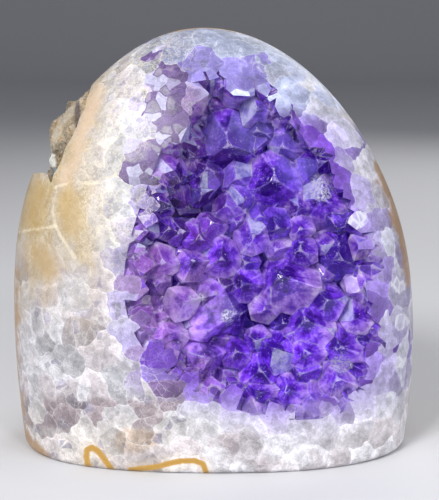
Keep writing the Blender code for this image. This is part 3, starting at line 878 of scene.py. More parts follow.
corner_vert = np.empty(len(mesh.loops), dtype=np.int32)
mesh.loops.foreach_get("vertex_index", corner_vert)
corner_face = np.repeat(np.arange(len(mesh.polygons)), 3)
who = grown_table[number[corner_face]]
co = points_of(mesh)[corner_vert]
away = who[:, :3] - co
width = np.maximum(who[:, 6], 1e-4)
below = (away * who[:, 3:6]).sum(axis=1)
aside = np.linalg.norm(away - who[:, 3:6] * below[:, None], axis=1)
place = np.stack([below / width, aside / width, who[:, 7], width / (20.0 * MM)], axis=1)
sideways = np.cross(who[:, 3:6], (0.0, 0.0, 1.0))
sideways /= np.maximum(np.linalg.norm(sideways, axis=1), 1e-6)[:, None]
upward = np.cross(sideways, who[:, 3:6])
spoke = np.stack([(away * sideways).sum(axis=1), (away * upward).sum(axis=1)], axis=1)
spoke /= np.maximum(np.linalg.norm(spoke, axis=1), 1e-6)[:, None]
spoke = np.stack([spoke[:, 0] / 2.0 + 0.5, spoke[:, 1] / 2.0 + 0.5, who[:, 7], np.ones(len(spoke))], axis=1)
for name, values in (("place", np.clip(place, 0.0, 2.0)), ("spoke", spoke)):
    made = mesh.attributes.new(name, "FLOAT_COLOR", "CORNER")
    made.data.foreach_set("color", values.astype(np.float32).ravel())
print("points on contact lines:", int(contact.sum()), "and on ridges:", int(ridge.sum()), "of", len(contact))

# %% [markdown]
# ## Building materials in code
#
# A material is a web of nodes. A wire, below, is the output of a node. Wires can be added, multiplied and so on, and
# each sum becomes a Math node, so a material reads like a list of formulas from top to bottom. The helpers add the
# other nodes, with each input given as a number, a colour or a wire. Lengths inside the materials are in millimetres.

# %% Wires and the sums done on them


class Wire:
    """The output of a node."""

    def __init__(self, socket):
        self.socket = socket
        self.tree = socket.id_data

    def __add__(self, other):
        return maths("ADD", self, other)

    def __sub__(self, other):
        return maths("SUBTRACT", self, other)

    def __rsub__(self, other):
        return maths("SUBTRACT", other, self)

    def __mul__(self, other):
        return maths("MULTIPLY", self, other)

    def __truediv__(self, other):
        return maths("DIVIDE", self, other)

    def __rtruediv__(self, other):
        return maths("DIVIDE", other, self)

    def __pow__(self, other):
        return maths("POWER", self, other)

    def __abs__(self):
        return maths("ABSOLUTE", self)


class Outputs:
    """The outputs of a node as wires, found by name or by number."""

    def __init__(self, sockets):
        self.sockets = sockets

    def __getitem__(self, key):
        return Wire(self.sockets[key])


def give(value, socket):
    """Links a wire to an input, or sets the input to a number or a colour."""
    if isinstance(value, Wire):
        socket.id_data.links.new(value.socket, socket)
    else:
        socket.default_value = value


def add(tree, kind, inputs=None, **settings):
    """Adds a shader node and returns its outputs."""
    made = tree.nodes.new("ShaderNode" + kind)
    for name, value in settings.items():
        setattr(made, name, value)
    for key, value in (inputs or {}).items():
        give(value, made.inputs[key])
    return Outputs(made.outputs)


def maths(operation, a, b=0.0, clamp=False):
    tree = a.tree if isinstance(a, Wire) else b.tree
    return add(tree, "Math", {0: a, 1: b}, operation=operation, use_clamp=clamp)[0]


def larger(a, b):
    return maths("MAXIMUM", a, b)


def smaller(a, b):
    return maths("MINIMUM", a, b)


def vectors(operation, a, b=(0.0, 0.0, 0.0)):
    """A sum of vectors. SCALE takes a number as b, and DISTANCE, LENGTH and DOT_PRODUCT give a number."""
    made = add(a.tree, "VectorMath", {0: a, 3 if operation == "SCALE" else 1: b}, operation=operation)
    return made["Value" if operation in ("DISTANCE", "LENGTH", "DOT_PRODUCT") else "Vector"]


# %% Helpers for colours and patterns


def fade(value, start, end, low=0.0, high=1.0):
    """Goes smoothly from low to high while the value goes from start to end."""
    inputs = {"Value": value, "From Min": start, "From Max": end, "To Min": low, "To Max": high}
    return add(value.tree, "MapRange", inputs, interpolation_type="SMOOTHSTEP")["Result"]


def blend(factor, a, b):
    """Mixes two colours, each given as three numbers or as a wire."""
    a, b = ((*colour, 1.0) if isinstance(colour, tuple) else colour for colour in (a, b))
    return add(factor.tree, "Mix", {0: factor, 6: a, 7: b}, data_type="RGBA")[2]


def ramp(value, colour, *steps):
    """Goes from colour to colour. Each step is the values between which it happens and the next colour."""
    for start, end, following in steps:
        colour = blend(fade(value, start, end), colour, following)
    return colour


def speckle(vector, size, detail=3.0, roughness=0.55):
    """Noise between 0 and 1 with grains of about this size in mm."""
    inputs = {"Vector": vector, "Scale": 1.0 / size, "Detail": detail, "Roughness": roughness}
    return add(vector.tree, "TexNoise", inputs)["Fac"]


def shader_group(name, inputs, outputs):
    """A node group. Inputs and outputs are given as name: kind, such as Float, Vector or Color."""
    tree = bpy.data.node_groups.new(name, "ShaderNodeTree")
    for way, sockets in (("INPUT", inputs), ("OUTPUT", outputs)):
        for socket, kind in sockets.items():
            tree.interface.new_socket(socket, in_out=way, socket_type="NodeSocket" + kind)
    return tree, Outputs(tree.nodes.new("NodeGroupInput").outputs), tree.nodes.new("NodeGroupOutput").inputs


def place_group(group, place, **values):
    """Puts a group into the material that the place comes from, with values of its own."""
    made = place.tree.nodes.new("ShaderNodeGroup")
    made.node_tree = group
    for key, value in {"Place": place, **values}.items():
        give(value, made.inputs[key])
    return Outputs(made.outputs)


def material(name):
    """An empty material with one Principled BSDF, and the place of each point in mm."""
    made = bpy.data.materials.new(name)
    made.use_nodes = True
    tree = made.node_tree
    tree.nodes.clear()
    shader = tree.nodes.new("ShaderNodeBsdfPrincipled")
    output = tree.nodes.new("ShaderNodeOutputMaterial")
    tree.links.new(shader.outputs[0], output.inputs["Surface"])
    return made, shader, output, vectors("SCALE", add(tree, "TexCoord")["Object"], 1.0 / MM)


def finish_shader(shader, values):
    for name, value in values.items():
        give(value, shader.inputs[name])


def bump(height, strength):
    """The normal of a surface with this height in mm."""
    return add(height.tree, "Bump", {"Height": height, "Distance": MM, "Strength": strength})[0]


def flat_place(across, up):
    """A place in the eye's view."""
    return add(across.tree, "CombineXYZ", {0: across, 1: up, 2: 0.0})[0]


# %% [markdown]
# ## Grown cells
#
# Polished quartz shows where its crystals met: many-sided cells with a fine pale line between them. Voronoi cells are
# the right pattern, because each crystal grew from its own seed until it met its neighbours. The pattern is bent a
# little by noise so that the lines aren't ruler-straight. The group gives the line, two chance values for each cell,
# the middle of the cell, so that a whole cell can take its tint from where it is, and how far a point is from its edge.

# %% A group for grown cells
BEND_SCALE = 0.22
cells_group, given, result = shader_group(
    "Grown_cells",
    {"Place": "Vector", "Size": "Float", "Bend": "Float", "Line": "Float"},
    {"Line": "Float", "Cell": "Float", "Other": "Float", "Middle": "Vector", "Inward": "Float"},
)
bend = add(cells_group, "TexNoise", {"Vector": given["Place"], "Scale": BEND_SCALE, "Detail": 1.0})["Color"]
bend = vectors("SCALE", vectors("SUBTRACT", bend, (0.5, 0.5, 0.5)), given["Bend"])
inputs = {"Vector": vectors("ADD", given["Place"], bend), "Scale": 1.0 / given["Size"]}
cell = add(cells_group, "TexVoronoi", inputs, feature="F1")
edge = add(cells_group, "TexVoronoi", inputs, feature="DISTANCE_TO_EDGE")["Distance"]
inputs = {"Value": edge * given["Size"], "From Min": 0.0, "From Max": given["Line"], "To Min": 1.0, "To Max": 0.0}
give(add(cells_group, "MapRange", inputs)[0], result["Line"])
chances = add(cells_group, "SeparateColor", {0: cell["Color"]})
give(chances[0], result["Cell"])
give(chances[1], result["Other"])
give(cell["Position"], result["Middle"])
give(edge, result["Inward"])
print("nodes in the group for cells:", len(cells_group.nodes))

# %% [markdown]
# ## How far from the rim
#
# The quartz turns from violet to white over a few millimetres outside the hollow, one whole cell at a time. So the
# material has to know how far the middle of each cell is from the rim. This group works it out from a place in the
# block with the same pear form that the hollow was made with. It also gives that place as the eye sees it.

# %% A group for the distance from the rim
rim_group, given, result = shader_group(
    "From_rim", {"Place": "Vector"}, {"Distance": "Float", "Across": "Float", "Up": "Float"}
)
x, y, z = add(rim_group, "SeparateXYZ", {0: given["Place"]})
lifted = z - EYE_TARGET.z / MM
depth = y * math.cos(EYE_TILT) + EYE_DISTANCE / MM - lifted * math.sin(EYE_TILT)
nearness = (EYE_DISTANCE / MM) / depth
across = (x - EYE_TARGET.x / MM) * nearness
up = (lifted * math.cos(EYE_TILT) + y * math.sin(EYE_TILT)) * nearness
give(across, result["Across"])
give(up, result["Up"])
up = up - HOLLOW_MIDDLE[1] / MM
v = smaller(larger(up / (HOLLOW_HALF_HEIGHT / MM), -1.2), 1.2)
shifted = across + v * v * v * (HOLLOW_SKEW / MM) - HOLLOW_MIDDLE[0] / MM
u = shifted / ((1.0 - v * HOLLOW_NARROWING) * (HOLLOW_HALF_WIDTH / MM))
share = larger(vectors("LENGTH", flat_place(u, v)), 0.001)
length = vectors("LENGTH", flat_place(shifted, up))
give(length - length / share, result["Distance"])
print("nodes in the group for the rim:", len(rim_group.nodes))

# %% [markdown]
# ## Stains, seams and spots
#
# Much of what is seen on the polished front has a place of its own: two loops of ochre at the foot, seams, stains,
# white nodules and cells of another colour. All of it is only colour, flush with the polish. A stain is drawn as a
# chain of short straight strokes, and the group gives the distance from one stroke, so that the nearest of them all
# makes the stain. Places are across and up in mm, as the eye sees them.

# %% A group for the distance from a stroke
stroke_group, given, result = shader_group(
    "From_stroke", {"Place": "Vector", "Start": "Vector", "Run": "Vector"}, {"Distance": "Float"}
)
run = given["Run"]
from_start = vectors("SUBTRACT", given["Place"], given["Start"])
share = maths("DIVIDE", vectors("DOT_PRODUCT", from_start, run), vectors("DOT_PRODUCT", run, run), clamp=True)
give(vectors("DISTANCE", from_start, vectors("SCALE", run, share)), result["Distance"])


def from_strokes(place, chain):
    """The distance from the nearest stroke of a chain."""
    shortest = None
    for (a0, u0), (a1, u1) in zip(chain, chain[1:]):
        distance = place_group(stroke_group, place, Start=(a0, u0, 0.0), Run=(a1 - a0, u1 - u0, 0.0))["Distance"]
        shortest = distance if shortest is None else smaller(shortest, distance)
    return shortest


def from_point(place, middle):
    return vectors("DISTANCE", place, (*middle, 0.0))


# %% Where the stains, seams and spots are
OCHRE_ARCH = (
    (-34.0, -57.0), (-34.6, -53.8), (-34.4, -51.9), (-33.1, -51.4), (-31.6, -52.2), (-30.1, -54.2), (-28.2, -56.8),
)
OCHRE_BAND = (
    (-23.1, -57.2), (-16.0, -56.3), (-13.1, -55.5), (-9.7, -54.8), (-6.4, -54.8), (-4.3, -55.6), (-3.4, -58.0),
)
# Peach along the broken edge, golden stains on the shoulder, and cream seams on the stub below the break
PEACH_EDGE = ((-31.5, 41.5), (-36.0, 30.5), (-37.6, 25.0), (-40.0, 18.0))
GOLD_STAINS = (((-47.6, 15.0), (-48.6, 7.5)), ((-39.6, 13.0), (-38.4, 6.0)), ((-47.0, -1.0), (-44.5, -5.0)))
CREAM_SEAMS = (
    ((-42.4, 16.4), (-43.4, 10.0), (-42.6, 6.2)),
    ((-53.0, 4.6), (-48.0, 5.4), (-42.6, 6.2), (-41.0, 3.0), (-37.6, -2.0)),
    ((-42.4, 16.4), (-38.0, 17.8), (-33.0, 17.2), (-27.0, 19.6)),
)
# White nodules near the right edge, each with its middle and its radius
NODULES = (((36.3, 7.8), 2.5), ((46.6, -9.1), 2.0), ((47.4, -18.7), 2.2), ((46.8, -29.1), 1.7), ((44.5, -38.0), 1.5))
# Whole cells near these strokes are violet and mauve
VIOLET_CELLS = ((-5.5, 49.0), (8.5, 42.5))
MAUVE_CELLS = ((-16.0, 47.5), (-11.0, 42.5), (-11.0, 34.0), (-15.0, 27.0), (-18.5, 19.0))
# Where brown skin shows along the outline, with its reach
SKIN_EDGES = (
    (((41.0, 22.0), (45.0, 13.0), (48.6, 0.0), (49.8, -8.0)), 2.2),
    (((-54.0, -6.0), (-53.8, -30.0), (-51.4, -47.0), (-46.0, -54.5)), 2.3),
    (((-4.0, 63.2), (10.0, 62.6), (23.0, 58.4)), 1.5),
)
# Small white crystals that grow on the large ones, each patch with its middle and its radius
SNOW = (((26.6, 16.2), 3.2), ((31.6, -29.4), 2.8), ((2.2, -17.6), 1.8), ((-6.0, -13.0), 2.0), ((33.5, 27.0), 2.2))
# On the lump: a pale outer edge, painted shade in a groove and in the hollow at its foot, and a grey and a white spot
# of chalcedony.
# Each has its strokes, its reach in mm, how strong it is, and its colour
LUMP_MARKS = (
    (((-36.0, 39.0), (-41.0, 33.5), (-44.2, 26.0)), 1.3, 0.5, (0.52, 0.46, 0.37)),
    (((-36.9, 38.0), (-36.6, 33.0), (-35.4, 28.5)), 1.1, 0.8, (0.06, 0.045, 0.055)),
    (((-41.5, 20.4), (-38.8, 20.2)), 1.5, 0.9, (0.02, 0.018, 0.018)),
    (((-43.2, 20.2), (-42.8, 18.6)), 1.5, 0.8, (0.30, 0.34, 0.38)),
    (((-43.8, 24.0), (-43.2, 22.6)), 1.3, 0.9, (0.82, 0.84, 0.80)),
)
print("strokes of ochre:", len(OCHRE_ARCH) + len(OCHRE_BAND) - 2, "and nodules:", len(NODULES))

# %% [markdown]
# ## Polished quartz
#
# Near the hollow the quartz still holds some violet. Further out it is milky white to cream, with smoky cells low
# down. On the upper left shoulder it is massive, tan and cream, with a few clear grey windows and yellowish threads.
# The outermost few millimetres, seen at the sides and behind, are banded brown agate.
# Big cells carry the main tints and small ones break them up. The gloss is that of a hand polish with fine scratches.

# %% The patterns in the quartz, from large to fine
quartz, shader, output, here = material("polished_quartz")
x, y, z = add(here.tree, "SeparateXYZ", {0: here})
clouds = speckle(here, 11.0, 4.0)
puffs = speckle(here, 4.5, 5.0, 0.62)
mist = speckle(here, 1.8, 5.0, 0.68)
grain = speckle(here, 0.45, 4.0, 0.72)
large = place_group(cells_group, here, Size=6.4, Bend=4.5, Line=0.19)
small = place_group(cells_group, here, Size=2.9, Bend=3.5, Line=0.15)
tiny = place_group(cells_group, here, Size=1.25, Bend=2.0, Line=0.10)
seen = place_group(rim_group, here)
seen_place = flat_place(seen["Across"], seen["Up"])
whole = place_group(rim_group, large["Middle"])
whole_place = flat_place(whole["Across"], whole["Up"])
front = fade(y, 6.0, 2.0)
open_left = fade(x, 0.0, -12.0)

# %% Tints that go by the distance from the rim, mostly a whole cell at a time
DEEP_VIOLET, VIOLET, LILAC = (0.16, 0.06, 0.46), (0.30, 0.21, 0.60), (0.40, 0.35, 0.60)
MILK, BLUE_MILK, OUTER_MILK = (0.49, 0.49, 0.53), (0.53, 0.53, 0.64), (0.51, 0.50, 0.53)
FOOT_CREAM, FOOT_WHITE = (0.72, 0.67, 0.63), (0.84, 0.82, 0.86)
PINKISH, SKY, PLUM, SHADED_SLATE = (0.55, 0.48, 0.50), (0.48, 0.52, 0.76), (0.25, 0.15, 0.34), (0.24, 0.27, 0.38)
crown = fade(z, 84.0, 90.0) * fade(x, -8.0, 0.0)
corner = fade(z, 80.0, 90.0) * fade(x, -2.0, -8.0)
flank = fade(z, 30.0, 40.0) * fade(z, 82.0, 72.0)
low = fade(z, 26.0, 10.0)
rim = whole["Distance"] * 0.8 + seen["Distance"] * 0.2 + (large["Cell"] - 0.5) * 5.0
rim = rim + crown * 3.0 - corner * 3.0 + flank * 3.0 + low * 2.5
beyond = blend(fade(x, 0.0, 14.0), MILK, BLUE_MILK)
colour = ramp(rim, DEEP_VIOLET, (-4.0, -1.0, VIOLET), (-0.5, 2.0, LILAC), (2.0, 7.0, beyond), (7.0, 16.0, OUTER_MILK))
foot = blend(fade(x, -20.0, 5.0), FOOT_CREAM, FOOT_WHITE)
colour = blend(fade(z, 20.0, 6.0, 0.0, 0.85), colour, foot)
colour = blend(fade(large["Other"], 0.55, 0.7) * fade(rim, 3.0, 9.0) * 0.55, colour, PINKISH)
colour = blend(crown * fade(large["Other"], 0.25, 0.5), colour, SKY)
colour = blend(fade(large["Other"], 0.62, 0.75) * fade(rim, 6.0, 1.0) * fade(x, 6.0, -8.0) * 0.85, colour, PLUM)
# Slate at the top: a bluish grey of the stone, made darker there as painted shade
colour = blend(fade(z, 90.0, 100.0) * fade(x, -24.0, -12.0) * 0.9, colour, SHADED_SLATE)

# %% Cells of another colour: violet at the top, mauve down the left of the rim, and smoky in a row low on the left
TOP_VIOLET, SMOKE = (0.19, 0.15, 0.46), (0.31, 0.25, 0.27)
DARK_MAUVE, PALE_MAUVE = (0.11, 0.055, 0.21), (0.42, 0.41, 0.58)
SMOKY_ROW_DROP = 42.5
violet = fade(from_strokes(whole_place, VIOLET_CELLS), 6.0, 4.5) * front
colour = blend(violet * fade(small["Cell"], 0.05, 0.3, 0.5, 0.9), colour, TOP_VIOLET)
mauve = fade(from_strokes(whole_place, MAUVE_CELLS), 5.2, 4.0) * front
colour = blend(mauve * 0.94, colour, blend(fade(small["Cell"], 0.45, 0.58), DARK_MAUVE, PALE_MAUVE))
smoky = fade(abs(seen["Up"] + SMOKY_ROW_DROP), 5.0, 2.5) * fade(large["Other"], 0.3, 0.5)
smoky = smoky * fade(seen["Across"], 2.0, -12.0)
scattered = fade(clouds, 0.54, 0.64) * fade(z, 22.0, 8.0, 0.0, 0.5)
colour = blend(larger(smoky, scattered) * 0.85, colour, SMOKE)

# %% The massive shoulder, stained along its height, and a peach haze below it
TAN, GOLDEN_TAN, GREY_TAN, PEACH_HAZE = (0.40, 0.34, 0.27), (0.38, 0.28, 0.14), (0.45, 0.42, 0.37), (0.62, 0.47, 0.35)
HAZE_LEFT, HAZE_DOWN = 22.0, 49.5
shoulder = fade(x, -20.0, -34.0) * fade(z + (clouds - 0.5) * 50.0, 26.0, 60.0)
stain = speckle(vectors("MULTIPLY", here, (1.0, 1.0, 0.35)), 5.0, 4.0, 0.6)
colour = blend(shoulder * 0.9, colour, ramp(stain, TAN, (0.40, 0.58, GOLDEN_TAN), (0.58, 0.70, GREY_TAN)))
haze_across, haze_up = seen["Across"] + HAZE_LEFT, seen["Up"] + HAZE_DOWN
haze = haze_across * haze_across * 0.02 + haze_up * haze_up * 0.06 + (puffs - 0.5) * 1.5
colour = blend(fade(haze, 1.0, 0.2, 0.0, 0.7), colour, PEACH_HAZE)
print("nodes in the quartz so far:", len(here.tree.nodes))

# %% Clear grey windows, and brightness that changes within each cell and from cell to cell
WINDOW_GREY = (0.31, 0.29, 0.37)
window = fade(small["Other"], 0.82, 0.86) * fade(small["Inward"], 0.04, 0.12) * (open_left - shoulder)
colour = blend(window * 0.75, colour, WINDOW_GREY)
lean = add(here.tree, "CombineXYZ", {0: large["Cell"] - 0.6, 1: 0.0, 2: large["Other"] - 0.3})[0]
slope = vectors("DOT_PRODUCT", vectors("SUBTRACT", here, large["Middle"]), lean)
tint = fade(large["Cell"], 0.0, 1.0, 0.80, 1.12) + slope * 0.09
for value, start, end, darkest, brightest in (
    (large["Inward"], 0.0, 0.22, 1.08, 0.94),
    (small["Cell"], 0.0, 1.0, 0.88, 1.10),
    (puffs, 0.3, 0.7, 0.88, 1.12),
    (mist, 0.3, 0.7, 0.84, 1.12),
    (grain, 0.3, 0.75, 0.88, 1.08),
    (tiny["Cell"], 0.0, 1.0, 0.88, 1.10),
):
    tint = tint * fade(value, start, end, darkest, brightest)
calm = shoulder * 0.6
tinted = vectors("SCALE", colour, tint * (1.0 - calm) + calm)

# %% The lines between cells, and yellowish threads on the left
PALE_LINE, YELLOW_LINE, MAUVE_LINE = (0.72, 0.71, 0.74), (0.76, 0.70, 0.53), (0.16, 0.09, 0.26)
THREAD = (0.80, 0.74, 0.52)
small_lines = small["Line"] * fade(clouds, 0.40, 0.62, 0.0, 0.45)
large_lines = large["Line"] * fade(puffs, 0.40, 0.58, 0.12, 0.8)
tiny_lines = tiny["Line"] * fade(puffs, 0.46, 0.60, 0.0, 0.5)
lines = larger(larger(small_lines, tiny_lines), large_lines) * (1.0 - shoulder * 0.75)
lines = lines * fade(x, 8.0, 26.0, 1.0, 0.55)
lines = lines * fade(seen["Distance"], -1.5, 1.5, 0.25, 1.0)
lines = lines * fade(mist, 0.35, 0.6, 0.35, 1.0)
line_tone = blend(open_left * fade(z, 40.0, 60.0), PALE_LINE, YELLOW_LINE)
line_tone = blend(mauve * 0.8, line_tone, MAUVE_LINE)
colour = blend(lines, tinted, line_tone)
thread = fade(abs(mist - 0.5), 0.022, 0.0) * (open_left * fade(z, 44.0, 62.0))
colour = blend(thread * (0.5 - mauve * 0.4), colour, THREAD)
print("nodes in the quartz so far:", len(here.tree.nodes))

# %% Peach and gold on the shoulder, nodules on the right, cream seams, and ochre loops at the foot
PEACH, NODULE_WHITE, GOLD, CREAM = (0.56, 0.41, 0.28), (0.80, 0.82, 0.88), (0.41, 0.28, 0.11), (0.74, 0.66, 0.50)
OCHRE_MIDDLE, OCHRE_EDGE, OCHRE_HALO = (0.46, 0.27, 0.06), (0.52, 0.30, 0.07), (0.66, 0.55, 0.42)
wander = (mist - 0.5) * 0.5
distance = from_strokes(seen_place, PEACH_EDGE) + wander * 3.0
peach = fade(distance, 3.4, 0.2, 0.0, 0.75) * fade(y, 14.0, 8.0) * fade(puffs, 0.34, 0.58, 0.55, 1.0)
colour = blend(peach, colour, PEACH)
for middle, radius in NODULES:
    distance = from_point(seen_place, middle) + (puffs - 0.5) * 5.0
    nodule = fade(distance, radius, radius - 0.35) * fade(small["Inward"], 0.0, 0.25, 1.0, 0.35)
    colour = blend(nodule * (front * 0.75), colour, NODULE_WHITE)
for chain in GOLD_STAINS:
    distance = from_strokes(seen_place, chain) + wander * 7.0
    colour = blend(fade(distance, 5.5, 0.5, 0.0, 0.7) * front, colour, GOLD)
for chain in CREAM_SEAMS:
    distance = from_strokes(seen_place, chain) + wander * 3.5
    seam = fade(distance, 0.6, 0.1, 0.0, 0.5) * fade(puffs, 0.40, 0.55, 0.1, 1.0)
    colour = blend(seam * front, colour, CREAM)
for chain, half_width in ((OCHRE_ARCH, 0.72), (OCHRE_BAND, 0.66)):
    distance = from_strokes(seen_place, chain) + wander
    ochre = blend(fade(distance, 0.0, half_width), OCHRE_MIDDLE, OCHRE_EDGE)
    colour = blend(fade(distance, 3.0, 0.6, 0.0, 0.4) * front, colour, OCHRE_HALO)
    colour = blend(fade(distance, half_width + 0.25, half_width - 0.15) * front, colour, ochre)

# %% The banded agate skin at the sides and behind, and where it shows along the outline
UMBER, BROWN, BUFF, CHALK = (0.24, 0.12, 0.05), (0.42, 0.25, 0.11), (0.56, 0.42, 0.28), (0.66, 0.60, 0.54)
SPECK, OUTLINE_BROWN = (0.16, 0.08, 0.04), (0.36, 0.21, 0.09)
inputs = {"W": (y + (clouds * 6.0 + puffs * 1.4)) * 0.75, "Scale": 1.0, "Detail": 3.0, "Roughness": 0.6}
band = add(here.tree, "TexNoise", inputs, noise_dimensions="1D")["Fac"]
skin = ramp(band, UMBER, (0.36, 0.46, BROWN), (0.50, 0.56, BUFF), (0.62, 0.68, CHALK))
skin = blend(fade(grain, 0.35, 0.65, 0.25, 0.0), skin, SPECK)
outward = larger(abs(x) - 44.0, 0.0) + larger(z - 100.0, 0.0)
colour = blend(fade(y + outward * 0.6 + clouds * 9.0, 5.5, 8.0), colour, skin)
for chain, reach in SKIN_EDGES:
    distance = from_strokes(seen_place, chain) + (puffs - 0.5) * 6.0
    colour = blend(fade(distance, reach, reach - 1.8, 0.0, 0.85) * front, colour, OUTLINE_BROWN)

# %% The polish
uneven = mist * 0.20 + grain * 0.06 + small["Cell"] * 0.03 - large["Line"] * 0.06
finish_shader(shader, {
    "Base Color": colour,
    "Roughness": fade(mist, 0.3, 0.8, 0.30, 0.5),
    "IOR": 1.54,
    "Specular IOR Level": 0.3,
    "Subsurface Weight": 0.1,
    "Subsurface Radius": (0.0030, 0.0028, 0.0030),
    "Subsurface Scale": 0.4,
    "Coat Weight": 0.08,
    "Coat Roughness": 0.2,
    "Normal": bump(uneven, 0.6),
})
print("nodes in the quartz:", len(here.tree.nodes))

# %% The milky wall behind the crystals
wall, shader, output, here = material("milky_wall")
milk = blend(speckle(here, 4.0), (0.62, 0.56, 0.80), (0.88, 0.84, 0.95))
finish_shader(shader, {"Base Color": milk, "Roughness": 0.6})

# %% [markdown]
# ## Amethyst
#
# The crystals are clear enough to see into. The light is bent at their faces and takes on its violet as it
# goes through, so the colour comes partly from absorption inside. The rest is base colour: a dark heart below the tip,
# a paler foot darkened by painted shadow deep between its neighbours, pale ridges painted as highlights, and white
# lines where crystals meet, some of them darkened as painted shade. Painted reflections make chance faces brighter or
# darker, and painted glints and sparkles light up a few. Faces carry faint growth marks.

# %% What the amethyst reads: places on each crystal, lines, and patterns
amethyst, shader, output, here = material("amethyst")


def measured(name):
    return add(here.tree, "Attribute", attribute_name=name)


place_on = measured("place")
below, aside, own = add(here.tree, "SeparateColor", {0: place_on["Color"]})
big = fade(place_on["Alpha"], 0.38, 0.6)
streaks = speckle(vectors("SCALE", measured("spoke")["Color"], 14.0), 1.3, 3.0, 0.6)
facet, rim = measured("facet")["Fac"], measured("rim_mm")["Fac"]
x, y, z = add(here.tree, "SeparateXYZ", {0: here})
seen = place_group(rim_group, here)
across, up = seen["Across"], seen["Up"]
clouds = speckle(here, 2.6, 4.0, 0.6)
sugar = speckle(here, 0.7, 5.0, 0.72)
patches = speckle(here, 14.0, 2.0)

# %% A dark heart near the axis, a pale margin, the crystal's own shade, and painted shadow at its deep foot
HEART, ROYAL, BRIGHT, PALE = (0.045, 0.003, 0.30), (0.21, 0.045, 0.84), (0.50, 0.25, 0.98), (0.80, 0.60, 1.0)
SHADOW, MAGENTA, ORCHID, GREY_VIOLET = (0.16, 0.07, 0.46), (0.44, 0.13, 0.56), (0.64, 0.38, 0.84), (0.22, 0.19, 0.56)
heart = aside + (clouds - 0.5) * 0.55 + (own - 0.5) * 0.50 + (streaks - 0.5) * 0.28
evened = fade(patches, 0.44, 0.60, 0.2, 0.8) * fade(big, 0.0, 1.0, 1.0, 0.15)
heart = blend(evened, heart, own * 0.22 + clouds * 0.30)
colour = ramp(heart, HEART, (0.08, 0.25, ROYAL), (0.25, 0.38, BRIGHT), (0.38, 0.54, PALE))
# Painted shadow: the foot of each crystal, deep between its neighbours, is darkened
colour = blend(fade(below, 0.85, 1.5), colour, SHADOW)
colour = blend(fade(x, 12.0, -14.0) * fade(patches, 0.35, 0.6) * 0.6, colour, MAGENTA)
lower_left = fade(across, 6.0, -10.0) * fade(up, 4.0, -12.0)
colour = blend(lower_left * fade(clouds, 0.35, 0.6, 0.15, 0.6), colour, ORCHID)
colour = blend(fade(y, -24.0, -14.0) * fade(facet, 0.4, 0.6) * 0.6, colour, GREY_VIOLET)

# %% Painted reflections: each face is made brighter or darker by its chance value, faces low down brighter, and a few are painted as mirrored glints. On the upper left more of them mirror the light
MIRROR_LOW, MIRROR_HIGH = (0.34, 0.32, 0.78), (0.78, 0.82, 1.0)
glint_chance = facet + fade(across, 2.0, -10.0) * fade(up, -8.0, 4.0) * 0.13
tone = (facet - 0.5) * fade(big, 0.0, 1.0, 1.05, 0.70) + fade(z, 46.0, 26.0, 1.08, 1.22)
tone = tone * fade(clouds, 0.3, 0.7, 0.76, 1.22) * fade(big, 0.0, 1.0, 0.82, 1.12)
colour = vectors("SCALE", colour, tone * fade(streaks, 0.3, 0.7, 0.90, 1.10))
mirrored = blend(fade(clouds, 0.36, 0.62), MIRROR_LOW, MIRROR_HIGH)
colour = blend(fade(glint_chance, 0.968, 0.972) * fade(sugar, 0.35, 0.6, 0.5, 0.95), colour, mirrored)
print("nodes in the amethyst so far:", len(here.tree.nodes))

# %% Paler towards the rim, with frost, ridges painted as highlights, the lines where crystals meet with painted shade along some, white patches, and sparks painted as glints
RIM_PALE, FROST, RIDGE_HIGHLIGHT = (0.66, 0.54, 0.95), (0.72, 0.60, 1.0), (0.70, 0.58, 1.0)
SEAM_SHADE, PALE_SEAM, SNOW_WHITE, SPARKLE_GLINT = (0.03, 0.006, 0.10), (0.82, 0.74, 0.90), (0.84, 0.82, 0.96), (0.95, 0.93, 1.0)
towards_rim = rim + own * 3.0 + fade(z, 22.0, 10.0, 0.0, 6.0)
colour = blend(fade(towards_rim, -5.0, 4.0) * 0.75, colour, RIM_PALE)
colour = blend(fade(sugar, 0.53, 0.64) * fade(clouds, 0.42, 0.62) * 0.55, colour, FROST)
# Painted highlight: pale along the ridges between faces
colour = blend(measured("ridge")["Fac"] ** 7.0 * fade(clouds, 0.38, 0.58, 0.05, 0.65), colour, RIDGE_HIGHLIGHT)
met = measured("contact")["Fac"] ** 4.0
# Painted shade: some lines where crystals meet are darkened as crevices, and the others get pale lines of their own
colour = blend(met * fade(patches, 0.52, 0.42, 0.0, 0.7), colour, SEAM_SHADE)
colour = blend(met * fade(patches, 0.46, 0.60, 0.0, 0.6), colour, PALE_SEAM)
seen_place = flat_place(across, up)
for middle, radius in SNOW:
    distance = from_point(seen_place, middle) + (clouds - 0.5) * 3.5
    snow = fade(distance, radius + 0.6, radius - 1.0) * fade(sugar, 0.46, 0.54, 0.1, 0.95)
    colour = blend(snow, colour, SNOW_WHITE)
# Painted sparkles: small bright glints near the axis of some crystals
sparks = add(here.tree, "TexVoronoi", {"Vector": here, "Scale": 2.2})
chosen = add(here.tree, "SeparateColor", {0: sparks["Color"]})[0]
spark = fade(chosen, 0.93, 0.96) * fade(sparks["Distance"], 0.45, 0.25) * fade(aside, 0.22, 0.08)
colour = blend(spark * 0.7, colour, SPARKLE_GLINT)

# %% Clear to look into, with faint growth marks
marks = add(here.tree, "TexWave", {"Vector": here, "Scale": 0.9, "Distortion": 6.0, "Detail": 3.0})["Fac"]
finish_shader(shader, {
    "Base Color": colour,
    "Roughness": 0.05,
    "IOR": 1.544,
    "Transmission Weight": 0.5,
    "Normal": bump(sugar * 0.05 + clouds * 0.14 + marks * 0.012, 0.7),
})
inside = add(here.tree, "VolumeAbsorption", {"Color": (0.50, 0.22, 0.98, 1.0), "Density": 45.0})
give(inside[0], output.inputs["Volume"])
print("nodes in the amethyst:", len(here.tree.nodes))
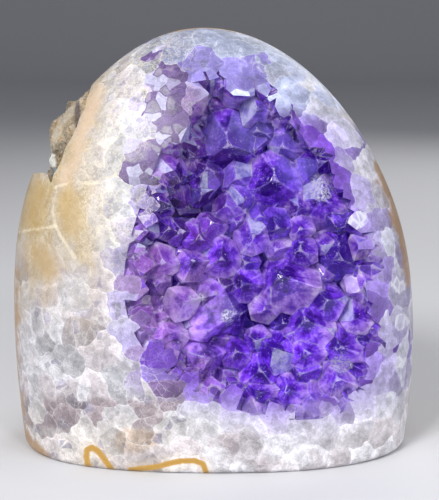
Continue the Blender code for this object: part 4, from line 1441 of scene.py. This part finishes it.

# %% [markdown]
# ## Rough rock
#
# The rock is weathered basalt and chalcedony skin: grey-brown, its pits darkened as painted shade, with ochre dust and
# pale grit on what stands out, and moss-grey, rusty and veined patches behind. It has no gloss at all.

# %% The rock material
DARK_ROCK, PALE_ROCK, MOSS_GREY, RUST = (0.15, 0.12, 0.085), (0.37, 0.30, 0.21), (0.17, 0.18, 0.13), (0.30, 0.17, 0.08)
OCHRE_DUST, VEIN, PALE_GRIT, PIT_SHADE = (0.34, 0.22, 0.10), (0.55, 0.52, 0.46), (0.56, 0.50, 0.40), (0.05, 0.042, 0.035)
stone, shader, output, here = material("rough_rock")
y = add(here.tree, "SeparateXYZ", {0: here})[1]
lumps = speckle(here, 9.0, 4.0)
patches = speckle(here, 24.0, 3.0)
veins = abs(speckle(here, 13.0, 3.0) - 0.5)
grit = speckle(here, 0.8, 6.0, 0.75)
spots = speckle(here, 2.6, 5.0, 0.65)
behind = fade(y, 12.0, 18.0)
colour = ramp(lumps, DARK_ROCK, (0.38, 0.62, PALE_ROCK))
colour = blend(fade(patches, 0.42, 0.58) * behind * 0.75, colour, MOSS_GREY)
colour = blend(fade(patches, 0.44, 0.32) * behind * 0.6, colour, RUST)
colour = blend(fade(spots, 0.5, 0.64, 0.0, 0.8), colour, OCHRE_DUST)
colour = blend(fade(veins, 0.030, 0.006) * (behind * fade(lumps, 0.4, 0.6)) * 0.7, colour, VEIN)
colour = blend(fade(grit, 0.52, 0.68, 0.0, 0.85), colour, PALE_GRIT)
# Painted shade: near-black where the grit dips into pits
colour = blend(fade(grit, 0.46, 0.34), colour, PIT_SHADE)
seen = place_group(rim_group, here)
seen_place = flat_place(seen["Across"], seen["Up"])
wander, in_front = (spots - 0.5) * 2.0, fade(y, 8.0, 5.0)
# The lump's marks, of which the groove and the hollow at its foot are painted shade
for chain, reach, strength, tone in LUMP_MARKS:
    distance = from_strokes(seen_place, chain) + wander
    colour = blend(fade(distance, reach, reach - 0.8, 0.0, strength) * in_front, colour, tone)
finish_shader(shader, {"Base Color": colour, "Roughness": 0.92, "Normal": bump(grit * 0.35 + spots * 0.5, 1.0)})
print("nodes in the rock:", len(here.tree.nodes))

# %% Give the pieces their materials
for obj, finishes in ((shell, (quartz, wall)), (crust, (amethyst, quartz)), (rock, (stone,))):
    obj.data.materials.clear()
    for finish in finishes:
        obj.data.materials.append(finish)
for obj in (shell, rock):
    only(obj)
    bpy.ops.object.shade_smooth_by_angle(angle=math.radians(32))
only(crust)
bpy.ops.object.shade_flat()
drop(plain_block)
for obj, node, slot in (
    (shell, "quartz_shell", "quartz_shell"),
    (crust, "amethyst_crust", "amethyst_crust"),
    (rock, "host_rock", "host_rock"),
):
    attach(obj, "root")
    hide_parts(node)
    obj.data.calc_loop_triangles()
    print(obj.name, "has", len(obj.data.loop_triangles), "triangles")

# %% Polish what was ground off the crust, and leave the wall behind it milky
for obj, marks in ((crust, "ground"), (shell, "wall")):
    marked = np.empty(len(obj.data.polygons), dtype=np.int32)
    obj.data.attributes[marks].data.foreach_get("value", marked)
    obj.data.polygons.foreach_set("material_index", marked)
    obj.data.update()
    print(obj.name, "has", int(marked.sum()), marks, "faces of", len(marked))

# %% [markdown]
# ## Floor, light and camera
#
# The stone stands on a plain pale sheet that curves up behind it. Large soft lights give the polish its broad
# highlights, and the dark between them is what makes the crystal faces glint. The camera stands where the photograph
# was taken from: in front, and looking down by ten degrees.

# %% The floor
bpy.ops.object.select_all(action="DESELECT")
bpy.ops.mesh.primitive_plane_add(size=1.0, location=(0, 0, 0))
floor = bpy.context.object
floor.name = "studio_floor"
floor.scale = (6.0, 6.0, 1.0)
bpy.ops.object.transform_apply(location=True, rotation=True, scale=True)
bpy.ops.object.mode_set(mode="EDIT")
bpy.ops.mesh.select_all(action="DESELECT")
bpy.ops.object.mode_set(mode="OBJECT")
for edge in floor.data.edges:
    edge.select = all(floor.data.vertices[i].co.y > 0 for i in edge.vertices)
bpy.ops.object.mode_set(mode="EDIT")
bpy.ops.mesh.select_mode(type="EDGE")
bpy.ops.mesh.extrude_region_move(TRANSFORM_OT_translate={"value": (0, 0, 3.0)})
bpy.ops.object.mode_set(mode="OBJECT")
modify(floor, "BEVEL", width=0.8, segments=10, limit_method="ANGLE")
only(floor)
bpy.ops.object.shade_smooth()
paper, shader, output, here = material("studio_paper")
finish_shader(shader, {"Base Color": (0.60, 0.60, 0.62, 1.0), "Roughness": 0.9})
floor.data.materials.append(paper)

# %% Light and camera


def aimed(name, data, place, aim):
    """Puts a light or a camera at a place, pointing at its aim."""
    made = bpy.data.objects.new(name, data)
    made.location = place
    made.rotation_euler = (Vector(aim) - Vector(place)).to_track_quat("-Z", "Y").to_euler()
    bpy.context.scene.collection.objects.link(made)
    return made


LIGHTS_AIM = (0.0, 0.0, 0.05)
# Place in metres, width and height in metres, and power in watts
SOFTBOXES = {
    "key": ((-0.26, -0.50, 0.52), (0.18, 0.18), 4.3),
    "fill": ((0.55, -0.50, 0.25), (0.30, 0.30), 1.3),
    "top": ((0.05, -0.02, 0.70), (0.30, 0.20), 0.9),
    "back": ((0.3, 0.6, 0.5), (0.5, 0.5), 1.8),
    "glint_left": ((-0.45, -0.35, 0.20), (0.10, 0.10), 0.7),
    "glint_right": ((0.22, -0.55, 0.42), (0.10, 0.10), 1.1),
}
for name, (place, size, power) in SOFTBOXES.items():
    lamp = bpy.data.lights.new(name, "AREA")
    lamp.shape = "RECTANGLE"
    lamp.size, lamp.size_y = size
    lamp.energy = power
    aimed(name, lamp, place, LIGHTS_AIM)
world = bpy.data.worlds.new("studio")
bpy.context.scene.world = world
world.use_nodes = True
background = world.node_tree.nodes["Background"].inputs
background["Color"].default_value = (0.9, 0.92, 1.0, 1.0)
background["Strength"].default_value = 0.22

SENSOR = 36.0
VIEW_HEIGHT = 130.0 * MM
lens = bpy.data.cameras.new("camera")
lens.lens = SENSOR * EYE_DISTANCE / VIEW_HEIGHT
lens.clip_start = 10.0 * MM
bpy.context.scene.camera = aimed("camera", lens, EYE, EYE_TARGET)
bpy.context.scene.view_settings.view_transform = "Standard"
print("lights:", len(SOFTBOXES), "and a lens of", round(lens.lens, 1), "mm")
